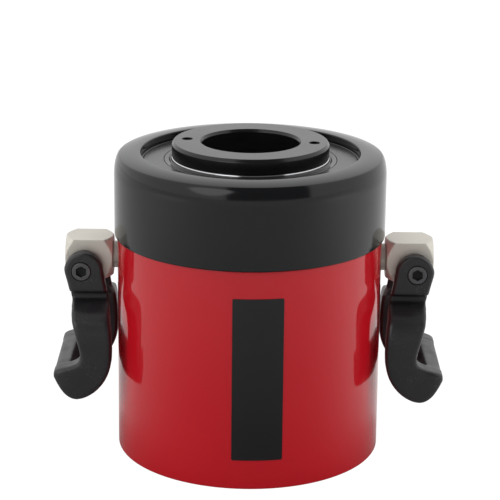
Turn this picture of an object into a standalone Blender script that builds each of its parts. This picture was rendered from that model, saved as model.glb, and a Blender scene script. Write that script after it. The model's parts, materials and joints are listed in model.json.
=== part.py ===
"""Hollow plunger hydraulic cylinder with a spring return, two swivel hoist rings and an oil coupler.

All sizes are in metres. The cylinder stands on its base with +Z up along its axis. The frame's
origin is under the middle of the whole outline, so the axis stands a little in front of it,
because the coupler reaches out at the back (+Y).
"""

import math

import bmesh
import bpy
import numpy as np
from mathutils import Matrix, Vector

# Clearances
seat_gap = 0.0003
swivel_gap = 0.0004
weld_distance = 0.00001

# How finely round pieces are divided
barrel_steps = 48
ring_steps = 36
fitting_steps = 24
screw_steps = 16

# Barrel and base
barrel_radius = 0.1064
barrel_height = 0.2395
barrel_wall = 0.0270
base_thickness = 0.030
base_chamfer = 0.0010
collar_step = 0.0016
collar_chamfer = 0.0015
base_bolt_count = 4
base_bolt_margin = 0.0175
base_bolt_radius = 0.0070
base_bolt_depth = 0.0190

# Centre tube
tube_wall = 0.0063
tube_shoulder = 0.0040
tube_shoulder_height = 0.0040
tube_below_top = 0.0215
tube_chamfer = 0.0015
tube_foot = 0.0005
oring_height = 0.0140
oring_section = 0.0012

# Plunger and its piston flange. The stroke is what the base, the piston, the closed spring and
# the stop ring leave of the barrel's height.
stroke_allowance = 0.1633
piston_step = 0.0159
plunger_wall = 0.0167
plunger_proud = 0.0021
plunger_bore_clearance = 0.0008
plunger_chamfer = 0.0010
piston_clearance = 0.0004
piston_height = 0.0360
piston_relief = 0.0045
piston_relief_height = 0.0090
saddle_socket_wall = 0.0095
saddle_socket_depth = 0.0186

# Rings on the piston and around the tube: distance of the groove above the piston's lower face,
# its height and its depth
wear_ring_rise = 0.0120
wear_ring_height = 0.0060
wear_ring_depth = 0.0028
piston_seal_rise = 0.0210
piston_seal_height = 0.0095
piston_seal_depth = 0.0060
backup_ring_height = 0.0026
tube_seal_rise = 0.0060
tube_seal_height = 0.0075
tube_seal_depth = 0.0056
tube_bearing_rise = 0.0200
tube_bearing_height = 0.0090
tube_bearing_depth = 0.0026

# Stop ring with its guide ring and wiper
stop_ring_thread = 0.0061
stop_ring_height = 0.0300
stop_ring_clearance = 0.0008
rod_bearing_rise = 0.0050
rod_bearing_height = 0.0110
rod_bearing_depth = 0.0027
wiper_groove_height = 0.0062
wiper_groove_depth = 0.0050
wiper_lip_height = 0.0008
set_screw_radius = 0.0040
set_screw_length = 0.0190
set_screw_below_top = 0.0145
set_screw_bite = 0.0015

# Return spring
spring_wire_radius = 0.0047
spring_closed_gap = 0.0005
spring_points_per_turn = 14
spring_roundness = 1

# Saddle
saddle_set_in = 0.0005
saddle_height = 0.0121
saddle_bore_step = 0.0007
saddle_bore_chamfer = (0.0014, 0.0022)
saddle_rim_chamfer = (0.0017, 0.0024)
spanner_hole_radius = 0.0043
spanner_hole_depth = 0.0080
spanner_hole_turn = math.radians(-5.2)

# Thread protector
protector_proud = 0.0027
protector_above_barrel = 0.0057
protector_lip_gap = 0.0025
protector_fillet = 0.0060
protector_edge = 0.0008

# Label plate
label_width = 0.0398
label_height = 0.1318
label_lift = 0.00135
label_centre = 0.0078
label_thickness = 0.0004

# Hoist rings: a block that turns on a flanged bushing, held by a bolt, with a bail on two screws
ring_below_top = 0.0812
ring_below_collar = 0.0196
spot_face_depth = 0.0008
spot_face_radius = 0.0133
bushing_flange_radius = 0.01225
bushing_flange_thickness = 0.0040
bushing_radius = 0.0095
hoist_bolt_radius = 0.0080
hoist_bolt_engagement = 0.0195
hoist_bolt_head_radius = 0.0113
hoist_bolt_head_height = 0.0076
hoist_bolt_socket = 0.0100
hoist_bolt_socket_depth = 0.0042
block_width = 0.0326
block_length = 0.0378
block_end_radius = 0.0172
trim_overrun = 0.0010
block_head_recess = 0.0092
pivot_outward = 0.0242
pivot_drop = 0.0071
pivot_thread_radius = 0.0040
pivot_thread_length = 0.0053
pivot_shoulder_radius = 0.0050
pivot_head_radius = 0.0075
pivot_head_height = 0.0046
pivot_socket = 0.0080
pivot_socket_depth = 0.0028

# Bail, in its own side view. The points of its outline are shares of its length.
bail_length = 0.1000
lug_radius = 0.0156
lug_set_back = 0.00175
lug_angles = (12, 32, 54, 74)
lug_thickness = 0.0106
leg_inner = 0.0305
leg_outer = 0.0480
bail_edge_radius = 0.0028
bar_reach = 0.0400

# Oil port and coupler at the back
port_height = 0.0380
port_passage_radius = 0.0040
port_thread_radius = 0.0083
port_spot_depth = 0.0018
port_spot_radius = 0.0195
port_thread_depth = 0.0170
coupler_hex_width = 0.0320
coupler_hex_length = 0.0120
coupler_barrel_radius = 0.0155
coupler_barrel_length = 0.0262
coupler_mouth_radius = 0.0105
coupler_mouth_depth = 0.0080
coupler_seat_radius = 0.0052
coupler_seat_thickness = 0.0040
coupler_chamber_radius = 0.0076
coupler_chamber_length = 0.0190
coupler_ball_radius = 0.0066
coupler_spring_wire = 0.0006
coupler_spring_radius = 0.0044
coupler_spring_turns = 3.5
coupler_spring_fineness = (10, 0)
cap_radius = 0.0184
cap_length = 0.0232
cap_end_thickness = 0.0036
cap_chamfer = 0.0015

# Worked out from the sizes above
bore_radius = barrel_radius - barrel_wall
collar_radius = barrel_radius - collar_step
base_bolt_circle = barrel_radius - base_bolt_margin
plunger_radius = bore_radius - piston_step
plunger_top = barrel_height + plunger_proud
stroke = barrel_height - stroke_allowance
plunger_bore_radius = plunger_radius - plunger_wall
tube_radius = plunger_bore_radius - plunger_bore_clearance
tube_bore_radius = tube_radius - tube_wall
tube_shoulder_radius = tube_radius + tube_shoulder
tube_top = barrel_height - tube_below_top
saddle_radius = plunger_radius - saddle_set_in
saddle_bore_radius = tube_bore_radius - saddle_bore_step
saddle_socket_radius = plunger_radius - saddle_socket_wall
spanner_hole_circle = (saddle_radius + saddle_bore_radius) / 2
wear_ring_groove = (wear_ring_rise, wear_ring_height, wear_ring_depth)
piston_seal_groove = (piston_seal_rise, piston_seal_height, piston_seal_depth)
tube_seal_groove = (tube_seal_rise, tube_seal_height, tube_seal_depth)
tube_bearing_groove = (tube_bearing_rise, tube_bearing_height, tube_bearing_depth)
rod_bearing_groove = (rod_bearing_rise, rod_bearing_height, rod_bearing_depth)
ring_height = barrel_height - ring_below_top
collar_foot = ring_height + ring_below_collar
protector_radius = barrel_radius + protector_proud
protector_top = barrel_height + protector_above_barrel
label_bottom = (collar_foot - label_height) / 2 + label_lift
stop_ring_radius = bore_radius + stop_ring_thread
protector_lip_radius = stop_ring_radius + protector_lip_gap
set_screw_height = barrel_height - set_screw_below_top
stop_ring_top = barrel_height
stop_ring_foot = stop_ring_top - stop_ring_height
ring_seat_foot = stop_ring_foot - seat_gap
piston_radius = bore_radius - piston_clearance
piston_foot = base_thickness + seat_gap + tube_shoulder_height + seat_gap
piston_top = piston_foot + piston_height
spring_closed_length = stop_ring_foot - piston_top - stroke - 2 * seat_gap
spring_turns = spring_closed_length / (2 * spring_wire_radius + spring_closed_gap)
saddle_foot = plunger_top + seat_gap
saddle_top = saddle_foot + saddle_height
ring_face = barrel_radius - spot_face_depth
block_foot = ring_face + seat_gap + bushing_flange_thickness + seat_gap
pivot_distance = block_foot + pivot_outward
pivot_height = ring_height - pivot_drop
bolt_head_seat = block_foot + block_length - block_head_recess
lug_inner = block_width / 2 + seat_gap
lug_outer = lug_inner + lug_thickness
port_face = barrel_radius - port_spot_depth
coupler_foot = port_face + seat_gap
coupler_barrel_foot = coupler_foot + coupler_hex_length
coupler_end = coupler_barrel_foot + coupler_barrel_length
coupler_seat_foot = coupler_end - coupler_mouth_depth - coupler_seat_thickness
coupler_chamber_foot = coupler_seat_foot - coupler_chamber_length
cap_end = coupler_end + seat_gap + cap_end_thickness
axis_offset = -(cap_end - protector_radius) / 2


def clear_scene():
    for thing in list(bpy.data.objects):
        bpy.data.objects.remove(thing, do_unlink=True)


def finish_of(name, colour, roughness, metallic):
    material = bpy.data.materials.new(name)
    material.use_nodes = True
    shader = material.node_tree.nodes["Principled BSDF"]
    shader.inputs["Base Color"].default_value = (*colour, 1.0)
    shader.inputs["Roughness"].default_value = roughness
    shader.inputs["Metallic"].default_value = metallic
    return material


def place(thing, parent, at=(0, 0, 0), turned_by=(0, 0, 0)):
    thing.parent = parent
    thing.location = at
    thing.rotation_euler = turned_by
    return thing


def pivot_point(name, parent, at=(0, 0, 0), turned_by=(0, 0, 0)):
    empty = bpy.data.objects.new(name, None)
    bpy.context.collection.objects.link(empty)
    return place(empty, parent, at, turned_by)


def object_from(name, form, finish):
    """An object whose mesh is the given bmesh, smooth on its round sides and sharp at its edges."""
    mesh = bpy.data.meshes.new(name)
    form.to_mesh(mesh)
    form.free()
    mesh.shade_smooth()
    mesh.set_sharp_from_angle(angle=math.radians(32))
    thing = bpy.data.objects.new(name, mesh)
    bpy.context.collection.objects.link(thing)
    if finish:
        mesh.materials.append(finish)
    return thing


def turned(name, outline, steps, finish=None):
    """An outline of (radius, height) points, closed or between two points on the axis, spun about Z."""
    form = bmesh.new()
    corners = [form.verts.new((radius, 0, height)) for radius, height in outline]
    sides = [form.edges.new(pair) for pair in zip(corners, corners[1:])]
    if outline[0][0] > 0 and outline[-1][0] > 0:
        sides.append(form.edges.new((corners[-1], corners[0])))
    spin_axis = {"cent": (0, 0, 0), "axis": (0, 0, 1), "angle": math.tau}
    bmesh.ops.spin(form, geom=corners + sides, steps=steps, use_merge=True, **spin_axis)
    bmesh.ops.remove_doubles(form, verts=form.verts, dist=weld_distance)
    bmesh.ops.recalc_face_normals(form, faces=form.faces)
    return object_from(name, form, finish)


def ring(name, inner, outer, foot, top, steps, finish):
    return turned(name, [(inner, foot), (outer, foot), (outer, top), (inner, top)], steps, finish)


def turn_half_step(thing, steps):
    """Sets a round cutter half a step round, so that its edges miss the corners of what it cuts."""
    thing.data.transform(Matrix.Rotation(math.pi / steps, 4, "Z"))


def rod(name, radius, foot, top, steps, finish=None):
    thing = turned(name, [(0, foot), (radius, foot), (radius, top), (0, top)], steps, finish)
    turn_half_step(thing, steps)
    return thing


def stepped_hole(*steps_down):
    """The outline of a cutter that narrows at each (radius, depth) from outside the barrel inward."""
    outline = [(0, 2 * barrel_radius), (steps_down[0][0], 2 * barrel_radius)]
    for (radius, floor), (next_radius, _) in zip(steps_down, [*steps_down[1:], (0, 0)]):
        outline += [(radius, floor), (next_radius, floor)]
    return outline


def hex_prism(name, width, foot, top):
    return rod(name, width / math.sqrt(3), foot, top, 6)


def combine(body, tool, operation="DIFFERENCE"):
    """Cuts, joins or trims the body with a tool that stays in the scene as a hidden wire shape."""
    tool.hide_render = True
    tool.display_type = "WIRE"
    step = body.modifiers.new(tool.name, "BOOLEAN")
    step.operation = operation
    step.solver = "EXACT"
    step.object = tool


def coil(name, radius, wire_radius, turns, foot, top, fineness, finish):
    """A compression spring between two heights, with its first and last turn closed."""
    points_per_turn, roundness = fineness
    lowest = foot + wire_radius
    highest = top - wire_radius
    closed_rise = 2 * wire_radius + seat_gap
    count = int(turns * points_per_turn) + 1
    along = np.linspace(0, turns, count)
    marks = [lowest, lowest + closed_rise, highest - closed_rise, highest]
    heights = np.interp(along, [0, 1, turns - 1, turns], marks)
    curve = bpy.data.curves.new(name, "CURVE")
    curve.dimensions = "3D"
    curve.bevel_depth = wire_radius
    curve.bevel_resolution = roundness
    curve.use_fill_caps = True
    spline = curve.splines.new("POLY")
    spline.points.add(count - 1)
    for point, angle, height in zip(spline.points, math.tau * along, heights):
        point.co = (radius * math.cos(angle), radius * math.sin(angle), height, 1)
    thing = bpy.data.objects.new(name, curve)
    bpy.context.collection.objects.link(thing)
    curve.materials.append(finish)
    return thing


def groove_span(groove, foot=piston_foot):
    start, height, _ = groove
    return foot + start, foot + start + height


def oring_groove_radius():
    return tube_radius - 2 * oring_section


def make_cylinder_body(axis, finish):
    """The barrel with its thick base, open bore and reduced collar, and every hole drilled in it."""
    base_hole = tube_radius + seat_gap
    ring_seat = stop_ring_radius + seat_gap
    outline = [
        (base_hole, 0),
        (barrel_radius - base_chamfer, 0),
        (barrel_radius, base_chamfer),
        (barrel_radius, collar_foot),
        (collar_radius, collar_foot),
        (collar_radius, barrel_height - collar_chamfer),
        (collar_radius - collar_chamfer, barrel_height),
        (ring_seat, barrel_height),
        (ring_seat, ring_seat_foot),
        (bore_radius, ring_seat_foot),
        (bore_radius, base_thickness),
        (base_hole, base_thickness),
    ]
    body = place(turned("cylinder_body", outline, barrel_steps, finish), axis)
    for number in range(base_bolt_count):
        angle = math.tau * (number + 0.5) / base_bolt_count
        at = (base_bolt_circle * math.cos(angle), base_bolt_circle * math.sin(angle), 0)
        name = f"base_bolt_hole_{number}"
        hole = rod(name, base_bolt_radius, -base_bolt_depth, base_bolt_depth, screw_steps)
        combine(body, place(hole, axis, at))
    bolt_hole = stepped_hole(
        (spot_face_radius, ring_face),
        (hoist_bolt_radius + seat_gap, ring_face - hoist_bolt_engagement - seat_gap),
    )
    for side, turn in (("right", math.pi / 2), ("left", -math.pi / 2)):
        hole = turned(f"bolt_hole_{side}", bolt_hole, fitting_steps)
        turn_half_step(hole, fitting_steps)
        combine(body, place(hole, axis, (0, 0, ring_height), (0, turn, 0)))
    facing_back = (-math.pi / 2, 0, 0)
    port = stepped_hole(
        (port_spot_radius, port_face),
        (port_thread_radius, port_face - port_thread_depth),
        (port_passage_radius, bore_radius / 2),
    )
    hole = turned("port_hole", port, fitting_steps)
    turn_half_step(hole, fitting_steps)
    combine(body, place(hole, axis, (0, 0, port_height), facing_back))
    screw_hole_radius = set_screw_radius + seat_gap
    hole = rod("set_screw_hole", screw_hole_radius, bore_radius, 2 * collar_radius, screw_steps)
    combine(body, place(hole, axis, (0, 0, set_screw_height), facing_back))


def make_centre_tube(axis, finish, rubber):
    half_groove = oring_section + seat_gap
    groove = oring_groove_radius()
    shoulder_foot = base_thickness + seat_gap
    outline = [
        (tube_bore_radius, tube_foot),
        (tube_radius, tube_foot),
        (tube_radius, oring_height - half_groove),
        (groove, oring_height - half_groove),
        (groove, oring_height + half_groove),
        (tube_radius, oring_height + half_groove),
        (tube_radius, shoulder_foot),
        (tube_shoulder_radius, shoulder_foot),
        (tube_shoulder_radius, shoulder_foot + tube_shoulder_height),
        (tube_radius, shoulder_foot + tube_shoulder_height),
        (tube_radius, tube_top - tube_chamfer),
        (tube_radius - tube_chamfer, tube_top),
        (tube_bore_radius, tube_top),
    ]
    place(turned("centre_tube", outline, ring_steps, finish), axis)
    middle = (groove + tube_radius + seat_gap) / 2
    sides = 6
    section = []
    for angle in np.linspace(0, math.tau, sides, endpoint=False):
        across = oring_section * math.cos(angle)
        section.append((middle + across, oring_height + oring_section * math.sin(angle)))
    place(turned("tube_oring", section, ring_steps, rubber), axis)


def make_plunger(axis, finish):
    """The hollow rod with its piston flange at the foot, ring grooves, and the saddle's socket at the top."""
    wear_foot, wear_top = groove_span(wear_ring_groove)
    seal_foot, seal_top = groove_span(piston_seal_groove)
    inner_foot, inner_top = groove_span(tube_seal_groove)
    guide_foot, guide_top = groove_span(tube_bearing_groove)
    socket_foot = plunger_top - saddle_socket_depth
    outline = [
        (plunger_bore_radius, piston_foot),
        (piston_radius - piston_relief, piston_foot),
        (piston_radius - piston_relief, piston_foot + piston_relief_height),
        (piston_radius, piston_foot + piston_relief_height),
        (piston_radius, wear_foot),
        (piston_radius - wear_ring_depth, wear_foot),
        (piston_radius - wear_ring_depth, wear_top),
        (piston_radius, wear_top),
        (piston_radius, seal_foot),
        (piston_radius - piston_seal_depth, seal_foot),
        (piston_radius - piston_seal_depth, seal_top),
        (piston_radius, seal_top),
        (piston_radius, piston_top),
        (plunger_radius, piston_top),
        (plunger_radius, plunger_top - plunger_chamfer),
        (plunger_radius - plunger_chamfer, plunger_top),
        (saddle_socket_radius, plunger_top),
        (saddle_socket_radius, socket_foot),
        (plunger_bore_radius, socket_foot),
        (plunger_bore_radius, guide_top),
        (plunger_bore_radius + tube_bearing_depth, guide_top),
        (plunger_bore_radius + tube_bearing_depth, guide_foot),
        (plunger_bore_radius, guide_foot),
        (plunger_bore_radius, inner_top),
        (plunger_bore_radius + tube_seal_depth, inner_top),
        (plunger_bore_radius + tube_seal_depth, inner_foot),
        (plunger_bore_radius, inner_foot),
    ]
    place(turned("plunger", outline, ring_steps, finish), axis)


def make_piston_rings(axis, rubber, guide):
    """The seal and its backup ring share one groove; each ring reaches almost to the bore it runs in."""
    outer = bore_radius - seat_gap
    foot, top = groove_span(wear_ring_groove)
    floor = piston_radius - wear_ring_depth + seat_gap
    place(ring("piston_wear_ring", floor, outer, foot + seat_gap, top - seat_gap, ring_steps, guide), axis)
    foot, top = groove_span(piston_seal_groove)
    floor = piston_radius - piston_seal_depth + seat_gap
    backup_top = top - seat_gap
    backup_foot = backup_top - backup_ring_height
    seal_top = backup_foot - seat_gap
    place(ring("piston_backup_ring", floor, outer, backup_foot, backup_top, ring_steps, guide), axis)
    place(ring("piston_seal", floor, outer, foot + seat_gap, seal_top, ring_steps, rubber), axis)


def make_tube_rings(axis, rubber, guide):
    inner = tube_radius + seat_gap
    for name, groove, finish in (
        ("tube_seal", tube_seal_groove, rubber),
        ("tube_bearing", tube_bearing_groove, guide),
    ):
        foot, top = groove_span(groove)
        floor = plunger_bore_radius + groove[2] - seat_gap
        place(ring(name, inner, floor, foot + seat_gap, top - seat_gap, ring_steps, finish), axis)


def make_stop_ring(axis, finish, rubber, guide):
    """The ring that closes the bore, with the guide ring and the wiper that run on the plunger."""
    bore = plunger_radius + stop_ring_clearance
    guide_foot, guide_top = groove_span(rod_bearing_groove, stop_ring_foot)
    guide_floor = bore + rod_bearing_depth
    wiper_foot = stop_ring_top - wiper_groove_height
    wiper_floor = bore + wiper_groove_depth
    outline = [
        (bore, stop_ring_foot),
        (stop_ring_radius, stop_ring_foot),
        (stop_ring_radius, stop_ring_top),
        (wiper_floor, stop_ring_top),
        (wiper_floor, wiper_foot),
        (bore, wiper_foot),
        (bore, guide_top),
        (guide_floor, guide_top),
        (guide_floor, guide_foot),
        (bore, guide_foot),
    ]
    stop_ring = place(turned("stop_ring", outline, ring_steps, finish), axis)
    dimple_foot = stop_ring_radius - set_screw_bite - seat_gap
    dimple = rod("set_screw_dimple", set_screw_radius + seat_gap, dimple_foot, collar_radius, screw_steps)
    combine(stop_ring, place(dimple, axis, (0, 0, set_screw_height), (-math.pi / 2, 0, 0)))
    contact = plunger_radius + seat_gap
    outer = guide_floor - seat_gap
    guide_foot += seat_gap
    guide_top -= seat_gap
    place(ring("rod_bearing", contact, outer, guide_foot, guide_top, ring_steps, guide), axis)
    heel = wiper_floor - seat_gap
    lip_top = stop_ring_top + wiper_lip_height
    wiper = [
        (contact, wiper_foot + seat_gap),
        (heel, wiper_foot + seat_gap),
        (heel, stop_ring_top),
        (contact, lip_top),
    ]
    place(turned("wiper_ring", wiper, ring_steps, rubber), axis)


def make_set_screw(axis, finish):
    foot = stop_ring_radius - set_screw_bite
    top = foot + set_screw_length
    screw = rod("stop_ring_set_screw", set_screw_radius, foot, top, screw_steps, finish)
    place(screw, axis, (0, 0, set_screw_height), (-math.pi / 2, 0, 0))
    socket = hex_prism("set_screw_socket", set_screw_radius, (foot + top) / 2, top + set_screw_length)
    combine(screw, place(socket, axis, (0, 0, set_screw_height), (-math.pi / 2, 0, 0)))


def make_return_spring(axis, finish):
    radius = (plunger_radius + bore_radius) / 2
    foot = piston_top + seat_gap
    top = stop_ring_foot - seat_gap
    fineness = (spring_points_per_turn, spring_roundness)
    spring = coil("return_spring", radius, spring_wire_radius, spring_turns, foot, top, fineness, finish)
    place(spring, axis)


def make_saddle(axis, finish):
    rim_in, rim_down = saddle_rim_chamfer
    bore_out, bore_down = saddle_bore_chamfer
    spigot = saddle_socket_radius - seat_gap
    outline = [
        (saddle_bore_radius, plunger_top - saddle_socket_depth + seat_gap),
        (spigot, plunger_top - saddle_socket_depth + seat_gap),
        (spigot, saddle_foot),
        (saddle_radius, saddle_foot),
        (saddle_radius, saddle_top - rim_down),
        (saddle_radius - rim_in, saddle_top),
        (saddle_bore_radius + bore_out, saddle_top),
        (saddle_bore_radius, saddle_top - bore_down),
    ]
    saddle = place(turned("saddle", outline, ring_steps, finish), axis)
    depth = spanner_hole_depth
    for number in range(2):
        angle = spanner_hole_turn + math.pi * number
        across = spanner_hole_circle * math.cos(angle)
        away = spanner_hole_circle * math.sin(angle)
        hole = rod(f"spanner_hole_{number}", spanner_hole_radius, -depth, depth, screw_steps)
        combine(saddle, place(hole, axis, (across, away, saddle_top)))


def make_thread_protector(axis, finish):
    """A ring over the collar's thread, with a round shoulder and a lip over the barrel's top face."""
    inner = collar_radius + seat_gap
    foot = collar_foot + seat_gap
    lip_foot = barrel_height + seat_gap
    middle_radius = protector_radius - protector_fillet
    middle_height = protector_top - protector_fillet
    shoulder = []
    for angle in np.linspace(0, math.pi / 2, 5):
        radius = middle_radius + protector_fillet * math.cos(angle)
        shoulder.append((radius, middle_height + protector_fillet * math.sin(angle)))
    outline = [
        (inner, foot),
        (protector_radius - protector_edge, foot),
        (protector_radius, foot + protector_edge),
        *shoulder,
        (protector_lip_radius + protector_edge, protector_top),
        (protector_lip_radius, protector_top - protector_edge),
        (protector_lip_radius, lip_foot),
        (inner, lip_foot),
    ]
    place(turned("thread_protector", outline, barrel_steps, finish), axis)


def make_label_plate(axis, finish):
    """A thin sheet bent round the barrel's front."""
    form = bmesh.new()
    inner = barrel_radius + seat_gap
    middle = math.asin(label_centre / inner)
    half = label_width / inner / 2
    rows = []
    for angle in np.linspace(middle - half, middle + half, 9):
        across = Vector((math.sin(angle), -math.cos(angle), 0))
        corners = []
        for radius, height in ((0, 0), (1, 0), (1, 1), (0, 1)):
            at = across * (inner + radius * label_thickness)
            at.z = label_bottom + height * label_height
            corners.append(form.verts.new(at))
        rows.append(corners)
    skin_between(form, rows)
    place(object_from("label_plate", form, finish), axis)


def skin_between(form, rows):
    """Joins a run of equal point rings with four-sided faces and closes both ends."""
    for near, far in zip(rows, rows[1:]):
        count = len(near)
        for n in range(count):
            form.faces.new((near[n], near[(n + 1) % count], far[(n + 1) % count], far[n]))
    form.faces.new(rows[0][::-1])
    form.faces.new(rows[-1])
    bmesh.ops.recalc_face_normals(form, faces=form.faces)


def make_hoist_mounting(side, ring_axis, steel, black):
    """The bushing and the bolt, whose axis points outward as the local Z."""
    flange_foot = ring_face + seat_gap
    flange_top = flange_foot + bushing_flange_thickness
    head_foot = bolt_head_seat + seat_gap
    outline = [
        (hoist_bolt_radius + seat_gap, flange_foot),
        (bushing_flange_radius, flange_foot),
        (bushing_flange_radius, flange_top),
        (bushing_radius, flange_top),
        (bushing_radius, bolt_head_seat),
        (hoist_bolt_radius + seat_gap, bolt_head_seat),
    ]
    place(turned(f"hoist_bushing_{side}", outline, fitting_steps, steel), ring_axis)
    head_top = head_foot + hoist_bolt_head_height
    outline = [
        (0, ring_face - hoist_bolt_engagement),
        (hoist_bolt_radius, ring_face - hoist_bolt_engagement),
        (hoist_bolt_radius, head_foot),
        (hoist_bolt_head_radius, head_foot),
        (hoist_bolt_head_radius, head_top),
        (0, head_top),
    ]
    bolt = place(turned(f"hoist_bolt_{side}", outline, fitting_steps, black), ring_axis)
    socket_foot = head_top - hoist_bolt_socket_depth
    socket = hex_prism(f"hoist_bolt_socket_{side}", hoist_bolt_socket, socket_foot, 2 * head_top)
    combine(bolt, place(socket, ring_axis))


def make_hoist_block(side, swivel, finish):
    """A square block trimmed by a cone at each end, bored for the bushing and for the bolt's head."""
    half = block_width / 2
    corner = half * math.sqrt(2) + seat_gap
    slope = corner - block_end_radius
    form = bmesh.new()
    bmesh.ops.create_cube(form, size=1)
    size = Matrix.Diagonal((block_width, block_width, block_length, 1))
    to_place = Matrix.Translation((0, 0, block_foot + block_length / 2)) @ size
    bmesh.ops.transform(form, matrix=to_place, verts=form.verts)
    block = place(object_from(f"hoist_block_{side}", form, finish), swivel)
    block_end = block_foot + block_length
    outline = [
        (0, block_foot - trim_overrun),
        (block_end_radius - trim_overrun, block_foot - trim_overrun),
        (corner, block_foot + slope),
        (corner, block_end - slope),
        (block_end_radius - trim_overrun, block_end + trim_overrun),
        (0, block_end + trim_overrun),
    ]
    trim = turned(f"block_trim_{side}", outline, barrel_steps)
    combine(block, place(trim, swivel), "INTERSECT")
    beyond = block_end + block_length
    sleeve_hole = bushing_radius + seat_gap
    bore = rod(f"block_bore_{side}", sleeve_hole, block_foot / 2, beyond, fitting_steps)
    combine(block, place(bore, swivel))
    head_hole = hoist_bolt_head_radius + seat_gap
    recess = rod(f"block_recess_{side}", head_hole, bolt_head_seat - seat_gap, beyond, fitting_steps)
    combine(block, place(recess, swivel))
    for way, turn in (("front", math.pi / 2), ("back", -math.pi / 2)):
        hole_radius = pivot_thread_radius + seat_gap
        hole_foot = half - pivot_thread_length - seat_gap
        hole = rod(f"pivot_hole_{side}_{way}", hole_radius, hole_foot, block_width, screw_steps)
        combine(block, place(hole, swivel, (pivot_drop, 0, pivot_distance), (turn, 0, 0)))


def make_pivot_screws(side, swivel, finish):
    """Two shoulder screws with sunk hexagons, one from each face of the block."""
    half = block_width / 2
    shoulder_foot = half + seat_gap
    head_foot = lug_outer + seat_gap - pivot_head_height
    head_top = lug_outer + seat_gap
    outline = [
        (0, half - pivot_thread_length),
        (pivot_thread_radius, half - pivot_thread_length),
        (pivot_thread_radius, shoulder_foot),
        (pivot_shoulder_radius, shoulder_foot),
        (pivot_shoulder_radius, head_foot),
        (pivot_head_radius, head_foot),
        (pivot_head_radius, head_top),
        (0, head_top),
    ]
    for way, turn in (("front", math.pi / 2), ("back", -math.pi / 2)):
        screw = turned(f"pivot_screw_{side}_{way}", outline, screw_steps, finish)
        place(screw, swivel, (pivot_drop, 0, pivot_distance), (turn, 0, 0))
        floor = head_top - pivot_socket_depth
        socket = hex_prism(f"pivot_socket_{side}_{way}", pivot_socket, floor, 2 * head_top)
        combine(screw, place(socket, swivel, (pivot_drop, 0, pivot_distance), (turn, 0, 0)))


def bail_stations():
    """The leg's sections from the lug's round end to the toe.

    Each is the point on the side away from the cylinder, the point on the heel side, and the leg's
    inner and outer face. Points are outward from the pivot and down from it.
    """
    stations = []
    for angle in np.radians(lug_angles):
        reach = lug_radius * math.sin(angle)
        down = -lug_radius * math.cos(angle)
        stations.append(((reach - lug_set_back, down), (-reach - lug_set_back, down), lug_inner, lug_outer))
    across = leg_outer - lug_outer
    apart = leg_inner - lug_inner
    for away, heel, inward, outward in (
        ((0.138, 0.000), (-0.172, 0.000), 0.00, 0.00),
        ((0.114, 0.100), (-0.189, 0.100), 0.00, 0.00),
        ((0.096, 0.185), (-0.203, 0.185), 0.00, 0.01),
        ((0.089, 0.220), (-0.210, 0.220), 0.03, 0.25),
        ((0.082, 0.255), (-0.218, 0.255), 0.16, 0.62),
        ((0.074, 0.300), (-0.226, 0.300), 0.42, 0.90),
        ((0.062, 0.360), (-0.236, 0.360), 0.78, 1.00),
        ((0.040, 0.460), (-0.246, 0.470), 1.00, 1.00),
        ((0.012, 0.570), (-0.250, 0.620), 1.00, 1.00),
        ((0.001, 0.635), (-0.240, 0.740), 1.00, 1.00),
        ((0.007, 0.675), (-0.198, 0.848), 1.00, 1.00),
        ((0.028, 0.702), (-0.125, 0.938), 1.00, 1.00),
        ((0.062, 0.721), (-0.035, 0.995), 1.00, 1.00),
        ((0.105, 0.735), (0.052, 1.008), 1.00, 1.00),
        ((0.150, 0.747), (0.125, 0.966), 1.00, 0.99),
        ((0.190, 0.760), (0.180, 0.890), 1.00, 0.95),
        ((0.213, 0.775), (0.215, 0.825), 1.00, 0.88),
    ):
        away = tuple(part * bail_length for part in away)
        heel = tuple(part * bail_length for part in heel)
        stations.append((away, heel, lug_inner + apart * inward, lug_outer + across * outward))
    return stations


def leg_rings(form, mirror):
    """Rounded rectangles, one at each station; mirror is 1 for the back leg and -1 for the front one."""
    rings = []
    for away, heel, inner, outer in bail_stations():
        width = math.dist(away, heel)
        middle = [(a + b) / 2 for a, b in zip(away, heel)]
        along = [(a - b) / width for a, b in zip(away, heel)]
        edge = min(bail_edge_radius, 0.45 * width, 0.45 * (outer - inner))
        points = []
        for corner in range(4):
            side = 1 if corner in (0, 3) else -1
            face = 1 if corner in (0, 1) else -1
            for share in (0, 0.5, 1):
                angle = math.pi / 2 * (corner + share)
                reach = side * (width / 2 - edge) + edge * math.cos(angle)
                across = face * ((outer - inner) / 2 - edge) + edge * math.sin(angle)
                outward = middle[0] + along[0] * reach
                down = middle[1] + along[1] * reach
                points.append(form.verts.new((outward, mirror * ((inner + outer) / 2 + across), -down)))
        rings.append(points)
    return rings


def bail_leg(name, mirror, finish=None):
    form = bmesh.new()
    skin_between(form, leg_rings(form, mirror))
    return object_from(name, form, finish)


def cross_bar(name):
    """The bar between the two toes: one outline in the side view, carried straight across."""
    outline = [
        (0.108, 0.741),
        (0.186, 0.764),
        (0.214, 0.792),
        (0.180, 0.882),
        (0.120, 0.964),
        (0.048, 1.003),
        (-0.034, 0.990),
        (-0.072, 0.930),
        (-0.010, 0.820),
    ]
    form = bmesh.new()
    rows = [
        [form.verts.new((outward * bail_length, y, -down * bail_length)) for outward, down in outline]
        for y in (-bar_reach, bar_reach)
    ]
    skin_between(form, rows)
    return object_from(name, form, None)


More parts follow.
